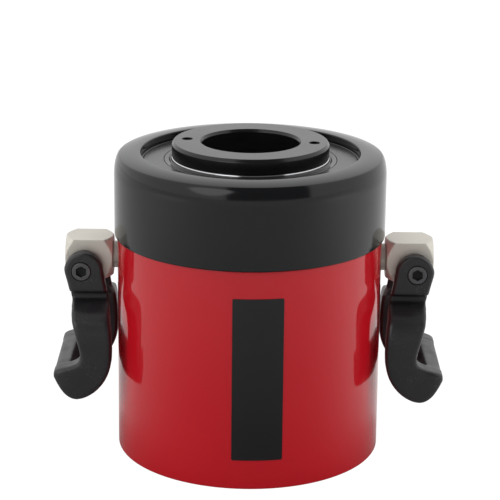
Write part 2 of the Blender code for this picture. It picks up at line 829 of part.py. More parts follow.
def make_bail(side, ring_axis, finish):
    """Two legs and a bar in one forging, drilled for the shoulder screws and their heads."""
    bail = place(bail_leg(f"bail_{side}", -1, finish), ring_axis)
    combine(bail, place(cross_bar(f"cross_bar_{side}"), ring_axis), "UNION")
    combine(bail, place(bail_leg(f"back_leg_{side}", 1), ring_axis), "UNION")
    hole_radius = pivot_shoulder_radius + seat_gap
    hole = rod(f"bail_hole_{side}", hole_radius, -2 * leg_outer, 2 * leg_outer, screw_steps)
    combine(bail, place(hole, ring_axis, turned_by=(math.pi / 2, 0, 0)))
    head_hole = pivot_head_radius + swivel_gap
    sunk = lug_outer - pivot_head_height
    for way, turn in (("front", math.pi / 2), ("back", -math.pi / 2)):
        recess = rod(f"head_recess_{side}_{way}", head_hole, sunk, 2 * leg_outer, fitting_steps)
        combine(bail, place(recess, ring_axis, turned_by=(turn, 0, 0)))


def make_hoist_ring(side, axis, steel, black, nickel, forged):
    """One side's ring; the left one is the right one turned half round the cylinder's axis."""
    turn = 0 if side == "right" else math.pi
    half_turn = pivot_point(f"side_{side}", axis, turned_by=(0, 0, turn))
    stem = pivot_point(f"stem_{side}", half_turn, (0, 0, ring_height), (0, math.pi / 2, 0))
    make_hoist_mounting(side, stem, steel, black)
    make_hoist_block(side, stem, nickel)
    make_pivot_screws(side, stem, black)
    hinge = pivot_point(f"bail_hinge_{side}", half_turn, (pivot_distance, 0, pivot_height))
    make_bail(side, hinge, forged)


def make_coupler(axis, brass, steel):
    """The coupler's fixed half: a threaded shank, a hexagon and a barrel with a ball valve inside."""
    port = pivot_point("port_axis", axis, (0, 0, port_height), (-math.pi / 2, 0, 0))
    shank_foot = port_face - port_thread_depth + seat_gap
    chamfer = cap_chamfer
    outline = [
        (port_passage_radius, shank_foot),
        (port_thread_radius - seat_gap, shank_foot),
        (port_thread_radius - seat_gap, coupler_foot),
        (coupler_barrel_radius, coupler_foot),
        (coupler_barrel_radius, coupler_end - chamfer),
        (coupler_barrel_radius - chamfer, coupler_end),
        (coupler_mouth_radius, coupler_end),
        (coupler_mouth_radius, coupler_end - coupler_mouth_depth),
        (coupler_seat_radius, coupler_end - coupler_mouth_depth),
        (coupler_seat_radius, coupler_seat_foot),
        (coupler_chamber_radius, coupler_seat_foot),
        (coupler_chamber_radius, coupler_chamber_foot),
        (port_passage_radius, coupler_chamber_foot),
    ]
    coupler = place(turned("coupler_body", outline, fitting_steps, brass), port)
    within_wall = (coupler_barrel_radius + coupler_chamber_radius) / 2
    hex_corner = coupler_hex_width / math.sqrt(3)
    flats = ring("coupler_flats", within_wall, hex_corner, coupler_foot, coupler_barrel_foot, 6, None)
    combine(coupler, place(flats, port), "UNION")
    seat_depth = math.sqrt(coupler_ball_radius**2 - coupler_seat_radius**2)
    ball_height = coupler_seat_foot - seat_depth - seat_gap
    form = bmesh.new()
    fineness = {"u_segments": screw_steps, "v_segments": screw_steps // 2}
    bmesh.ops.create_uvsphere(form, radius=coupler_ball_radius, **fineness)
    place(object_from("coupler_ball", form, steel), port, (0, 0, ball_height))
    behind = math.sqrt(coupler_ball_radius**2 - coupler_spring_radius**2)
    spring_top = ball_height - behind - coupler_spring_wire
    spring = coil(
        "coupler_spring",
        coupler_spring_radius,
        coupler_spring_wire,
        coupler_spring_turns,
        coupler_chamber_foot + seat_gap,
        spring_top,
        coupler_spring_fineness,
        steel,
    )
    place(spring, port)


def make_dust_cap(axis, finish):
    port = pivot_point("cap_axis", axis, (0, 0, port_height), (-math.pi / 2, 0, 0))
    inner = coupler_barrel_radius + seat_gap
    foot = cap_end - cap_length
    outline = [
        (0, coupler_end + seat_gap),
        (inner, coupler_end + seat_gap),
        (inner, foot),
        (cap_radius, foot),
        (cap_radius, cap_end - cap_chamfer),
        (cap_radius - cap_chamfer, cap_end),
        (0, cap_end),
    ]
    place(turned("dust_cap", outline, fitting_steps, finish), port)


def main():
    clear_scene()
    red_paint = finish_of("red_paint", (0.36, 0.012, 0.022), 0.22, 0.0)
    black_coat = finish_of("black_coat", (0.012, 0.012, 0.013), 0.35, 0.0)
    chrome = finish_of("chrome_plate", (0.72, 0.72, 0.74), 0.12, 1.0)
    tube_steel = finish_of("tube_steel", (0.45, 0.45, 0.47), 0.3, 1.0)
    phosphate = finish_of("phosphate", (0.03, 0.03, 0.032), 0.45, 0.4)
    rubber = finish_of("seal_rubber", (0.02, 0.02, 0.02), 0.6, 0.0)
    guide = finish_of("guide_bronze", (0.42, 0.27, 0.1), 0.4, 1.0)
    spring_steel = finish_of("spring_steel", (0.12, 0.12, 0.13), 0.4, 1.0)
    nickel = finish_of("nickel_plate", (0.62, 0.58, 0.51), 0.28, 1.0)
    forged = finish_of("forged_black", (0.03, 0.03, 0.032), 0.55, 0.2)
    label = finish_of("label_film", (0.02, 0.018, 0.02), 0.4, 0.0)
    coupler_steel = finish_of("coupler_steel", (0.5, 0.48, 0.42), 0.3, 1.0)
    cap_plastic = finish_of("cap_plastic", (0.35, 0.02, 0.02), 0.4, 0.0)

    axis = pivot_point("cylinder_axis", None, (0, axis_offset, 0))
    make_cylinder_body(axis, red_paint)
    make_centre_tube(axis, tube_steel, rubber)
    make_plunger(axis, chrome)
    make_piston_rings(axis, rubber, guide)
    make_tube_rings(axis, rubber, guide)
    make_stop_ring(axis, phosphate, rubber, guide)
    make_set_screw(axis, phosphate)
    make_return_spring(axis, spring_steel)
    make_saddle(axis, black_coat)
    make_thread_protector(axis, black_coat)
    make_label_plate(axis, label)
    for side in ("right", "left"):
        make_hoist_ring(side, axis, tube_steel, phosphate, nickel, forged)
    make_coupler(axis, coupler_steel, tube_steel)
    make_dust_cap(axis, cap_plastic)


main()
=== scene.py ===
"""The finished look of a hollow plunger hydraulic cylinder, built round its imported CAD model.

Every piece is a surface worked out with numpy from the sizes in the panel, in metres. It takes the
place of the CAD node of the same name and rides on that node's body.
"""

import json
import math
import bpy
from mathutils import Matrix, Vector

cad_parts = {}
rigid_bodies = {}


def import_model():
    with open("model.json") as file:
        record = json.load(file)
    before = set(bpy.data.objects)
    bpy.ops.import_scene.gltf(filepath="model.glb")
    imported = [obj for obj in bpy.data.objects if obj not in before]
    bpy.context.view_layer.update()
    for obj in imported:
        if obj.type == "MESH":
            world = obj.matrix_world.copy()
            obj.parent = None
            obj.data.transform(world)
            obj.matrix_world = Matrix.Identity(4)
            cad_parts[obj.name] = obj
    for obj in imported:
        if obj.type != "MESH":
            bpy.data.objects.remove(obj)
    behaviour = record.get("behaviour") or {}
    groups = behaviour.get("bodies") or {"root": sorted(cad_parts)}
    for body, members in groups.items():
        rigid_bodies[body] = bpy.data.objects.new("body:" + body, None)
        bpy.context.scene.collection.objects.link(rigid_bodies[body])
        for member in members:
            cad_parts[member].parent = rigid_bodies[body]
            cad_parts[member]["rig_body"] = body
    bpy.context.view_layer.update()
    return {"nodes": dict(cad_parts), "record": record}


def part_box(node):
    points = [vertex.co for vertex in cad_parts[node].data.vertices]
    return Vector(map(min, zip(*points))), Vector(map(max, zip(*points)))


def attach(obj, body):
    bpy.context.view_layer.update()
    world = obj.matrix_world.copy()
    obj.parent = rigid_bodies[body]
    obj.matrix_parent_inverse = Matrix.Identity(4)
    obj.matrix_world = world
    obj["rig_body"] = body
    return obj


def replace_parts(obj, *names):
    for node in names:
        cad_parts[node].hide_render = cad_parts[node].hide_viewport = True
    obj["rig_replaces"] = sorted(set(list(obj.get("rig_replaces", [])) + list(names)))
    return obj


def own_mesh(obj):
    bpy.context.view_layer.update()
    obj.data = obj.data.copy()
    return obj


bl_info = {
    "name": "Hollow plunger cylinder",
    "version": (1, 0, 0),
    "blender": (4, 5, 0),
    "location": "3D View > Sidebar > Cylinder",
    "description": "Builds the finished look of a hollow plunger hydraulic cylinder",
    "category": "Add Mesh",
}

import bmesh
import bpy
import numpy as np
from bpy.props import FloatProperty, FloatVectorProperty, IntProperty, PointerProperty
from mathutils import Euler, Matrix, Vector

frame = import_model()
slot_of = {row["node"]: row["material_slot"] for row in frame["record"]["subparts"]}
saddle_low, saddle_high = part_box("saddle")
axis_y = (saddle_low.y + saddle_high.y) / 2


# Sizes and colours


gap = 0.0003  # clearance between neighbouring pieces


def length(default, description):
    """A size in metres."""
    return FloatProperty(
        description=description, default=default, min=0, unit="LENGTH", precision=4
    )


def rotation(default, description):
    """A turn in radians."""
    return FloatProperty(description=description, default=default, unit="ROTATION")


def colour(default, description):
    return FloatVectorProperty(
        description=description, default=default, min=0, max=1, subtype="COLOR"
    )


class BarrelSizes(bpy.types.PropertyGroup):
    radius: length(0.1068, "Outside radius of the red barrel")
    foot_edge: length(0.0012, "Rounding of the barrel's lower edge")
    base: length(0.0300, "Thickness of the base")
    bore: length(0.0794, "Radius of the bore that the piston runs in")
    collar: length(0.1048, "Radius of the threaded collar under the head ring")
    collar_foot: length(0.1779, "Height where the collar starts")
    top: length(0.2395, "Height of the barrel's top face")
    bolt_circle: length(0.0889, "Radius of the circle of the four base bolts")
    bolt_hole: length(0.0070, "Radius of a base bolt hole")
    bolt_depth: length(0.0190, "Depth of a base bolt hole")


class HeadSizes(bpy.types.PropertyGroup):
    radius: length(0.1091, "Outside radius of the black head ring")
    top: length(0.2456, "Height of the head ring's top face")
    lip: length(0.0880, "Inside radius of the head ring's lip")
    crown: length(0.0019, "How far the top face falls away towards the shoulder")
    shoulder: length(0.0044, "How far the head ring's rounded shoulder reaches inwards")
    shoulder_drop: length(0.0160, "How far the rounded shoulder reaches down")
    stop_ring: length(0.0855, "Outside radius of the stop ring")
    stop_foot: length(0.2095, "Height of the stop ring's lower face")
    wiper_lip: length(0.0008, "Height of the wiper's lip above the stop ring")
    set_screw: length(0.2250, "Height of the stop ring's set screw")


class PlungerSizes(bpy.types.PropertyGroup):
    radius: length(0.0635, "Radius of the chromed plunger")
    top: length(0.2416, "Height of the plunger's top face")
    piston_foot: length(0.0346, "Height of the piston's lower face")
    piston: length(0.0360, "Height of the piston")
    tube: length(0.0460, "Outside radius of the centre tube")
    tube_bore: length(0.0397, "Inside radius of the centre tube")
    tube_top: length(0.2180, "Height of the centre tube's upper end")
    saddle: length(0.0630, "Radius of the saddle")
    saddle_bore: length(0.0390, "Radius of the hole through the saddle")
    saddle_top: length(0.2540, "Height of the saddle's top face")
    spanner_circle: length(0.0510, "Distance of the spanner holes from the axis")
    spanner_hole: length(0.0043, "Radius of a spanner hole")
    wire: length(0.0047, "Radius of the return spring's wire")


class LabelSizes(bpy.types.PropertyGroup):
    width: length(0.0398, "Width of the label, along the barrel's curve")
    height: length(0.1318, "Height of the label")
    foot: length(0.0244, "Height of the label's lower edge")
    middle: length(0.0073, "How far the label's middle lies to the right of the front")
    corner: length(0.0012, "Rounding of the label's corners")
    film: length(0.0003, "Thickness of the label")


class HoistSizes(bpy.types.PropertyGroup):
    height: length(0.1583, "Height of the hoist rings' bolts")
    face: length(0.1056, "Distance of the spot face from the cylinder's axis")
    flange: length(0.0108, "Radius of the bushing's flange")
    block_foot: length(0.1102, "Distance of the block from the cylinder's axis")
    block: length(0.0378, "Length of the block")
    width: length(0.0326, "Width of the block across its flats")
    end: length(0.0163, "Radius of the cone at the block's ends")
    recess: length(0.0092, "Depth of the hole that the bolt's head sinks into")
    bolt: length(0.0080, "Radius of the bolt's shank")
    head: length(0.0113, "Radius of the bolt's head")
    outward: length(0.0242, "Distance of the pivot from the block's inner end")
    drop: length(0.0071, "Distance of the pivot below the bolt")
    screw_head: length(0.0075, "Radius of a pivot screw's head")


class BailSizes(bpy.types.PropertyGroup):
    lug: length(0.0156, "Radius of the round end at the pivot")
    set_back: length(0.00175, "Distance of the round end's centre behind the pivot")
    thickness: length(0.0106, "Thickness of a leg at the pivot")
    inside: length(0.0322, "Distance of a leg's inner face from the middle, low down")
    outside: length(0.0500, "Distance of a leg's outer face from the middle, low down")
    edge: length(0.0032, "Rounding of the legs' edges")
    voxel: length(0.0009, "Step of the skin that joins the legs and the bar")


class CouplerSizes(bpy.types.PropertyGroup):
    height: length(0.0380, "Height of the oil port")
    foot: length(0.1049, "Distance of the hexagon from the cylinder's axis")
    hexagon: length(0.0320, "Width of the hexagon across its flats")
    hexagon_length: length(0.0120, "Length of the hexagon")
    barrel: length(0.0155, "Radius of the threaded barrel")
    end: length(0.1431, "Distance of the mouth from the cylinder's axis")
    pitch: length(0.0018, "Distance from one turn of the thread to the next")
    cap: length(0.0184, "Outside radius of the dust cap")
    cap_end: length(0.1470, "Distance of the cap's end from the cylinder's axis")
    cap_length: length(0.0232, "Length of the dust cap")
    flutes: IntProperty(description="Grip flutes round the dust cap", default=36, min=6, max=90)


class Colours(bpy.types.PropertyGroup):
    red: colour((0.415, 0.0060, 0.0120), "Barrel and base")
    black: colour((0.0045, 0.0048, 0.0054), "Head ring")
    oxide: colour((0.0045, 0.0045, 0.0050), "Saddle")
    screw: colour((0.105, 0.105, 0.110), "Bolts and screws")
    chrome: colour((0.72, 0.72, 0.74), "Plunger")
    steel: colour((0.45, 0.45, 0.46), "Tube, bushings and machined faces")
    phosphate: colour((0.014, 0.0145, 0.015), "Stop ring")
    wiper: colour((0.0112, 0.0116, 0.0120), "Wiper")
    # The rubber colour also darkens the screws' sockets, as painted shade.
    rubber: colour((0.006, 0.006, 0.0065), "Seals, and the oil in the screws' sockets")
    bronze: colour((0.40, 0.26, 0.10), "Guide rings")
    spring: colour((0.12, 0.12, 0.13), "Springs")
    nickel: colour((0.60, 0.57, 0.51), "Hoist blocks")
    powder: colour((0.011, 0.011, 0.0125), "Bails")
    film: colour((0.0060, 0.0052, 0.0060), "Label")
    zinc: colour((0.52, 0.50, 0.44), "Coupler")
    cap: colour((0.32, 0.012, 0.014), "Dust cap")


class Studio(bpy.types.PropertyGroup):
    distance: length(1.5, "Level distance of the camera from the cylinder's axis")
    height: length(0.6219, "Height of the camera above the floor")
    pitch: rotation(0.2712, "How far the camera looks down")
    roll: rotation(0.0108, "Turn of the camera about its own line")
    focal: FloatProperty(description="Focal length, in mm", default=139.25, unit="CAMERA")
    sensor: FloatProperty(description="Sensor width, in mm", default=36, unit="CAMERA")
    shift: FloatVectorProperty(
        description="Lens shift, as a share of the frame", size=2, default=(-0.0002, -0.1)
    )
    daylight: FloatProperty(
        description="Level of the light from all round", default=0.55, subtype="FACTOR"
    )


class CylinderSettings(bpy.types.PropertyGroup):
    barrel: PointerProperty(type=BarrelSizes)
    head: PointerProperty(type=HeadSizes)
    plunger: PointerProperty(type=PlungerSizes)
    label: PointerProperty(type=LabelSizes)
    hoist: PointerProperty(type=HoistSizes)
    bail: PointerProperty(type=BailSizes)
    coupler: PointerProperty(type=CouplerSizes)
    colours: PointerProperty(type=Colours)
    studio: PointerProperty(type=Studio)


def settings():
    return bpy.context.scene.cylinder


# Shader recipes


class Value:
    """A node socket that carries a number; an expression on it adds Math nodes."""

    def __init__(self, recipe, socket):
        self.recipe = recipe
        self.socket = socket

    def sum(self, operation, *inputs):
        return self.recipe.node("ShaderNodeMath", {"operation": operation}, dict(enumerate(inputs)))

    def __add__(self, other):
        return self.sum("ADD", self, other)

    def __radd__(self, other):
        return self.sum("ADD", other, self)

    def __sub__(self, other):
        return self.sum("SUBTRACT", self, other)

    def __rsub__(self, other):
        return self.sum("SUBTRACT", other, self)

    def __mul__(self, other):
        return self.sum("MULTIPLY", self, other)

    def __rmul__(self, other):
        return self.sum("MULTIPLY", other, self)

    def __truediv__(self, other):
        return self.sum("DIVIDE", self, other)

    def __pow__(self, other):
        return self.sum("POWER", self, other)

    def ramp(self, low, high):
        """0 below low, 1 above high, and smooth between them."""
        inputs = {"Value": self, "From Min": low, "From Max": high}
        return self.recipe.node("ShaderNodeMapRange", {"interpolation_type": "SMOOTHSTEP"}, inputs)


class Recipe:
    """A node tree that is filled one node at a time."""

    def __init__(self, tree):
        self.tree = tree

    def node(self, kind, choices=None, inputs=None, output=0):
        made = self.tree.nodes.new(kind)
        for name, value in (choices or {}).items():
            setattr(made, name, value)
        for key, value in (inputs or {}).items():
            self.feed(made.inputs[key], value)
        return Value(self, made.outputs[output])

    def feed(self, socket, value):
        if isinstance(value, Value):
            self.tree.links.new(value.socket, socket)
        else:
            socket.default_value = value

    def place(self):
        return self.node("ShaderNodeTexCoord", output="Object")

    def noise(self, scale, detail=2.0, place=None):
        inputs = {"Vector": place or self.place(), "Scale": scale, "Detail": detail}
        return self.node("ShaderNodeTexNoise", inputs=inputs)

    def stretched(self, factors):
        """Object coordinates scaled along each axis, for marks that run one way."""
        inputs = {"Vector": self.place(), "Scale": factors}
        return self.node("ShaderNodeMapping", inputs=inputs)

    def parts(self, vector):
        """The X, Y and Z of a vector."""
        split = self.node("ShaderNodeSeparateXYZ", inputs={"Vector": vector}).socket.node
        return [Value(self, split.outputs[name]) for name in "XYZ"]

    def level_place(self):
        """X and Y from the cylinder's axis, and the distance sqrt(x^2 + y^2)."""
        x, y, _ = self.parts(self.place())
        y = y - axis_y
        return x, y, (x * x + y * y) ** 0.5

    def blend(self, factor, first, second):
        mixed = {"Factor": factor, 6: (*first, 1.0), 7: (*second, 1.0)}
        return self.node("ShaderNodeMix", {"data_type": "RGBA"}, mixed, output=2)

    def path(self, question):
        return self.node("ShaderNodeLightPath", output=question)

    def mix_shader(self, factor, first, second):
        return self.node("ShaderNodeMixShader", inputs={0: factor, 1: first, 2: second})

    def bump(self, height, distance, strength):
        inputs = {"Height": height, "Distance": distance, "Strength": strength}
        return self.node("ShaderNodeBump", inputs=inputs)


def tinted(shade, tint):
    """The shade times a number, or the tint itself where that is a colour."""
    return tint if isinstance(tint, tuple) else tuple(channel * tint for channel in shade)


def finish(name, constants=None):
    """A new material with its Principled shader set to constants, and a recipe to fill it."""
    material = bpy.data.materials.new(f"fine_{name}")
    material.use_nodes = True
    shader = material.node_tree.nodes["Principled BSDF"]
    for socket, value in (constants or {}).items():
        shader.inputs[socket].default_value = value
    recipe = Recipe(material.node_tree)

    def fill(**inputs):
        for socket, value in inputs.items():
            recipe.feed(shader.inputs[socket.replace("_", " ")], value)
        return material

    return recipe, fill


# Machined parts. Each row: colour, metallic, roughness, spacing and depth of the turning marks,
# and how far the colour strays either way.
turned_finishes = {
    "saddle_oxide": ("oxide", 0.0, 0.20, 0.0007, 0.00001, 0.20),
    "chrome_plate": ("chrome", 1.0, 0.10, 0.0004, 0.000002, 0.12),
    "tube_steel": ("steel", 1.0, 0.26, 0.0006, 0.000008, 0.12),
    "phosphate": ("phosphate", 0.0, 0.20, 0.0008, 0.00001, 0.15),
    "wiper_plastic": ("wiper", 0.0, 0.16, 0.0008, 0.000005, 0.10),
    "guide_bronze": ("bronze", 0.9, 0.38, 0.0009, 0.00001, 0.18),
}


def turned_finish(name, shade_name, metallic, roughness, spacing, depth, contrast):
    """Turning marks in gloss and relief, 0.5 + 0.5 sin(2 pi r / spacing), unsettled by noise."""
    shade = getattr(settings().colours, shade_name)
    mix, fill = finish(name, {"Metallic": metallic})
    wander = mix.noise(60.0) * math.tau * 0.4
    phase = mix.level_place()[2] * (math.tau / spacing) + wander
    marks = phase.sum("SINE", phase) * 0.5 + 0.5
    cloud = mix.noise(30.0, 4.0)
    return fill(
        Base_Color=mix.blend(cloud, tinted(shade, 1 - contrast), tinted(shade, 1 + contrast)),
        Roughness=roughness + 0.06 * marks + 0.10 * (cloud - 0.5),
        Normal=mix.bump(marks + 0.5 * mix.noise(900.0), depth, 0.4),
    )


# Coated and cast parts. Each row: colour, its tint at either end of a cloud of noise, the cloud's
# scale and detail, the roughness and what the cloud adds to it, the grain's scale and detail, the
# grain's depth and strength, and the shader's constants.
mottled_finishes = {
    "red_paint": ("red", 1.0, 0.88, (9, 3), (0.05, 0.05), (260, 1), (0.00002, 0.5), {}),
    "black_coat": (
        *("black", 0.8, 1.35, (14, 4), (0.09, 0.06), (420, 2), (0.00001, 0.5)),
        {"Specular IOR Level": 0.40},
    ),
    "black_oxide_screw": (
        *("screw", 0.8, 1.2, (160, 4), (0.26, 0.14), (1500, 3), (0.00002, 0.4)),
        {"Metallic": 0.7},
    ),
    # The socket finish is painted shade: a darker colour inside the screws' sockets.
    "socket_oil": (
        *("rubber", 0.5, 1.0, (600, 3), (0.30, 0.25), (600, 3), (0.00002, 0.4)),
        {"Specular IOR Level": 0.3},
    ),
    "seal_rubber": (
        *("rubber", 1.0, 2.2, (80, 5), (0.50, 0.18), (1800, 2), (0.00003, 0.4)),
        {"Specular IOR Level": 0.4},
    ),
    "spring_steel": (
        *("spring", 0.7, (0.17, 0.155, 0.13), (45, 4), (0.28, 0.22), (700, 3), (0.00003, 0.4)),
        {"Metallic": 0.9},
    ),
    "label_film": ("film", 0.85, 1.2, (25, 3), (0.34, 0.08), (700, 2), (0.00001, 0.4), {}),
    "coupler_steel": (
        *("zinc", 1.0, (0.50, 0.43, 0.30), (35, 4), (0.26, 0.12), (800, 2), (0.00001, 0.4)),
        {"Metallic": 1.0},
    ),
}


def mottled_finish(name, shade_name, low, high, cloud, roughness, grain, relief, constants):
    shade = getattr(settings().colours, shade_name)
    mix, fill = finish(name, constants)
    spots = mix.noise(*cloud)
    return fill(
        Base_Color=mix.blend(spots, tinted(shade, low), tinted(shade, high)),
        Roughness=roughness[0] + roughness[1] * spots,
        Normal=mix.bump(mix.noise(*grain), *relief),
    )


def satin_nickel():
    """Plated and tumbled: warm, softly mottled, with fine scratches along the block."""
    shade = settings().colours.nickel
    mix, fill = finish("nickel_plate", {"Metallic": 0.4, "Specular IOR Level": 0.35})
    cloud = mix.noise(55.0, 5.0)
    brush = mix.noise(1.0, 3.0, mix.stretched((120.0, 1600.0, 1600.0)))
    return fill(
        Base_Color=mix.blend(cloud, tinted(shade, 0.9), tinted(shade, 1.1)),
        Roughness=0.36 + 0.12 * cloud + 0.06 * brush,
        Normal=mix.bump(brush + 0.6 * mix.noise(500.0, 2.0), 0.000006, 0.4),
    )


def forged_powder():
    """Satin coat over a forging: broad waves, and pale flecks on a grain that comes in patches."""
    shade = settings().colours.powder
    mix, fill = finish("forged_black", {"Specular IOR Level": 0.6})
    grain = mix.noise(1300.0, 3.0)
    wave = mix.noise(170.0, 2.0)
    patch = mix.noise(70.0, 2.0).ramp(0.46, 0.62)
    flecks = mix.noise(900.0, 2.0).ramp(0.60, 0.70)
    return fill(
        Base_Color=mix.blend(flecks * (0.15 + 0.5 * patch), shade, (0.08, 0.08, 0.085)),
        Roughness=0.26 + 0.14 * wave + 0.10 * grain + 0.06 * patch,
        Normal=mix.bump(grain * (1 + 1.6 * patch) + 2.2 * wave, 0.00007, 0.55),
    )


def moulded_red():
    shade = settings().colours.cap
    mix, fill = finish("cap_plastic", {"Specular IOR Level": 0.45})
    grain = mix.noise(900.0, 2.0)
    return fill(
        Base_Color=mix.blend(mix.noise(50.0, 3.0), tinted(shade, 0.85), tinted(shade, 1.15)),
        Roughness=0.38 + 0.10 * grain,
        Normal=mix.bump(grain, 0.00004, 0.5),
    )


def material_for(name):
    """The finish of that name, made the first time it is asked for."""
    if f"fine_{name}" in bpy.data.materials:
        return bpy.data.materials[f"fine_{name}"]
    if name in turned_finishes:
        return turned_finish(name, *turned_finishes[name])
    if name in mottled_finishes:
        return mottled_finish(name, *mottled_finishes[name])
    own = {"nickel_plate": satin_nickel, "forged_black": forged_powder, "cap_plastic": moulded_red}
    return own[name]()


# Shapes


def rounded(corners, steps=4):
    """A closed outline of (radius, height) with its corners rounded.

    A corner P has unit vectors a and b towards its neighbours, at an angle of 2h. With
    L = rounding / tan h, its points for t from 0 to 1 are
    P + L ((1-t)^2 a + t^2 b) / ((1-t)^2 + 2 t (1-t) sin h + t^2), which is the arc of a circle
    that touches both sides. Rows of corners are radius, height, rounding and then the half width
    of any flats, which the new points keep.
    """
    corners = np.array([[*row, *(0.0, np.inf)[len(row) - 2 :]] for row in corners], float)
    point = corners[:, :2]
    before = np.roll(point, 1, 0) - point
    after = np.roll(point, -1, 0) - point
    before /= np.linalg.norm(before, axis=1, keepdims=True)
    after /= np.linalg.norm(after, axis=1, keepdims=True)
    half = np.arccos(np.clip((before * after).sum(1), -1, 1)) / 2
    reach = (corners[:, 2] / np.tan(half))[:, None, None]
    t = np.linspace(0, 1, steps + 1)
    start = ((1 - t) ** 2)[None, :, None]
    end = (t**2)[None, :, None]
    middle = 2 * (t * (1 - t))[None, :, None] * np.sin(half)[:, None, None]
    weight = start + middle + end
    arc = point[:, None] + reach * (start * before[:, None] + end * after[:, None]) / weight
    flats = np.broadcast_to(corners[:, None, 3:], (*arc.shape[:2], 1))
    rows = np.concatenate([arc, flats], 2).reshape(-1, 3)
    apart = np.linalg.norm(rows[:, :2] - np.roll(rows[:, :2], 1, 0), axis=1) > 1e-7
    return rows[apart]


def grid_faces(rows, columns, rows_wrap=False):
    """The four corner numbers of each face between neighbouring points of a grid; columns wrap."""
    row = np.arange(rows if rows_wrap else rows - 1)[:, None]
    column = np.arange(columns)[None, :]
    beside = (column + 1) % columns
    here, ahead = row * columns, (row + 1) % rows * columns
    corners = [here + column, here + beside, ahead + beside, ahead + column]
    return np.stack(np.broadcast_arrays(*corners), -1).reshape(-1, 4)


def spun(corners, steps=96, round_steps=4, sides=6, sharpness=60.0, relief=None):
    """An outline carried round Z: (R cos a, R sin a, height), where a goes once round.

    R is the outline's radius r. Where the row has flats of half width h,
    R = (r^-p + F^-p)^(-1/p) with F = h / cos(a mod w - w/2) and w = 2 pi / sides, which is the
    lesser of circle and polygon with its corner eased. relief(angle, height, R) is added to R.
    """
    rows = rounded(corners, round_steps)
    angle = np.linspace(0, math.tau, steps, endpoint=False)[None, :]
    radius = np.broadcast_to(rows[:, :1], (len(rows), steps)).copy()
    height = np.broadcast_to(rows[:, 1:2], radius.shape)
    flat = np.isfinite(rows[:, 2])
    if flat.any():
        wedge = math.tau / sides
        polygon = rows[flat, 2:3] / np.cos(angle % wedge - wedge / 2)
        scaled = np.maximum(radius[flat], 1e-6) / polygon
        eased = radius[flat] / (1 + scaled**sharpness) ** (1 / sharpness)
        radius[flat] = np.where(radius[flat] > 0, eased, 0)
    if relief:
        radius = radius + relief(angle, height, radius)
    points = np.stack([radius * np.cos(angle), radius * np.sin(angle), height], -1)
    solid = rows[0, 0] < 1e-7 and rows[-1, 0] < 1e-7
    return points.reshape(-1, 3), grid_faces(len(rows), steps, rows_wrap=not solid)


def ring(inner, outer, foot, top, edge=0.0003):
    return [(inner, foot, edge), (outer, foot, edge), (outer, top, edge), (inner, top, edge)]


def swept(path, outward, radius):
    """A tube round a path: C(s) + radius (cos a N + sin a B), closed to a point at both ends.

    N is the outward vector made square to the path's direction T, and B = T x N.
    """
    direction = np.gradient(path, axis=0)
    direction /= np.linalg.norm(direction, axis=1, keepdims=True)
    normal = outward - direction * (outward * direction).sum(1, keepdims=True)
    normal /= np.linalg.norm(normal, axis=1, keepdims=True)
    side = np.cross(direction, normal)
    angle = np.linspace(0, math.tau, 16, endpoint=False)[None, :, None]
    around = np.cos(angle) * normal[:, None] + np.sin(angle) * side[:, None]
    return closed_tube(path[:, None] + radius * around, path[:1, None], path[-1:, None])


def closed_tube(rings, first, last):
    """The patch through rings of points, closed to one point at either end."""
    ends = [np.broadcast_to(end, rings[:1].shape) for end in (first, last)]
    points = np.concatenate([ends[0], rings, ends[1]])
    return points.reshape(-1, 3), grid_faces(*points.shape[:2])


def helix(radius, wire, turns, foot, top):
    """A compression spring: (R cos u, R sin u, z(u)), whose first and last turns lie closed."""
    turn = np.linspace(0, turns, int(turns * 48) + 1)
    low, high = foot + wire, top - wire
    closed = 2 * wire + gap
    height = np.interp(turn, [0, 1, turns - 1, turns], [low, low + closed, high - closed, high])
    angle = math.tau * turn
    path = np.stack([radius * np.cos(angle), radius * np.sin(angle), height], -1)
    outward = np.stack([np.cos(angle), np.sin(angle), 0 * angle], -1)
    return swept(path, outward, wire)


def smooth_through(rows):
    """Four rows for each given one, through them on a cubic: each new row is
    (2 P1 + (P2 - P0) t + (2 P0 - 5 P1 + 4 P2 - P3) t^2 + (3 P1 - P0 - 3 P2 + P3) t^3) / 2."""
    ends = np.vstack([rows[:1], rows, rows[-1:]])
    p0, p1, p2, p3 = (ends[n : len(rows) - 1 + n, None] for n in range(4))
    t = np.linspace(0, 1, 4, endpoint=False)[None, :, None]
    bend = (2 * p0 - 5 * p1 + 4 * p2 - p3) * t**2
    curve = 2 * p1 + (p2 - p0) * t + bend + (3 * p1 - p0 - 3 * p2 + p3) * t**3
    return np.vstack([(curve / 2).reshape(-1, rows.shape[1]), rows[-1:]])


def moved(patch, matrix):
    """A patch turned and shifted by a matrix, then set on the cylinder's axis."""
    points, faces = patch
    matrix = np.array(matrix)
    return points @ matrix[:3, :3].T + matrix[:3, 3] + np.array([0, axis_y, 0]), faces


def upright(patch):
    return moved(patch, Matrix.Identity(4))


def turned_to(at, rotation):
    return Matrix.Translation(at) @ Euler(rotation).to_matrix().to_4x4()


def outwards(height, side):
    """From upright to lying along X. The left is the right turned half round the axis."""
    half_round = Matrix.Rotation(0 if side == "right" else math.pi, 4, "Z")
    return half_round @ turned_to((0, 0, height), (0, math.pi / 2, 0))


def backwards(height):
    """From upright to lying along Y, away from the front."""
    return turned_to((0, 0, height), (-math.pi / 2, 0, 0))


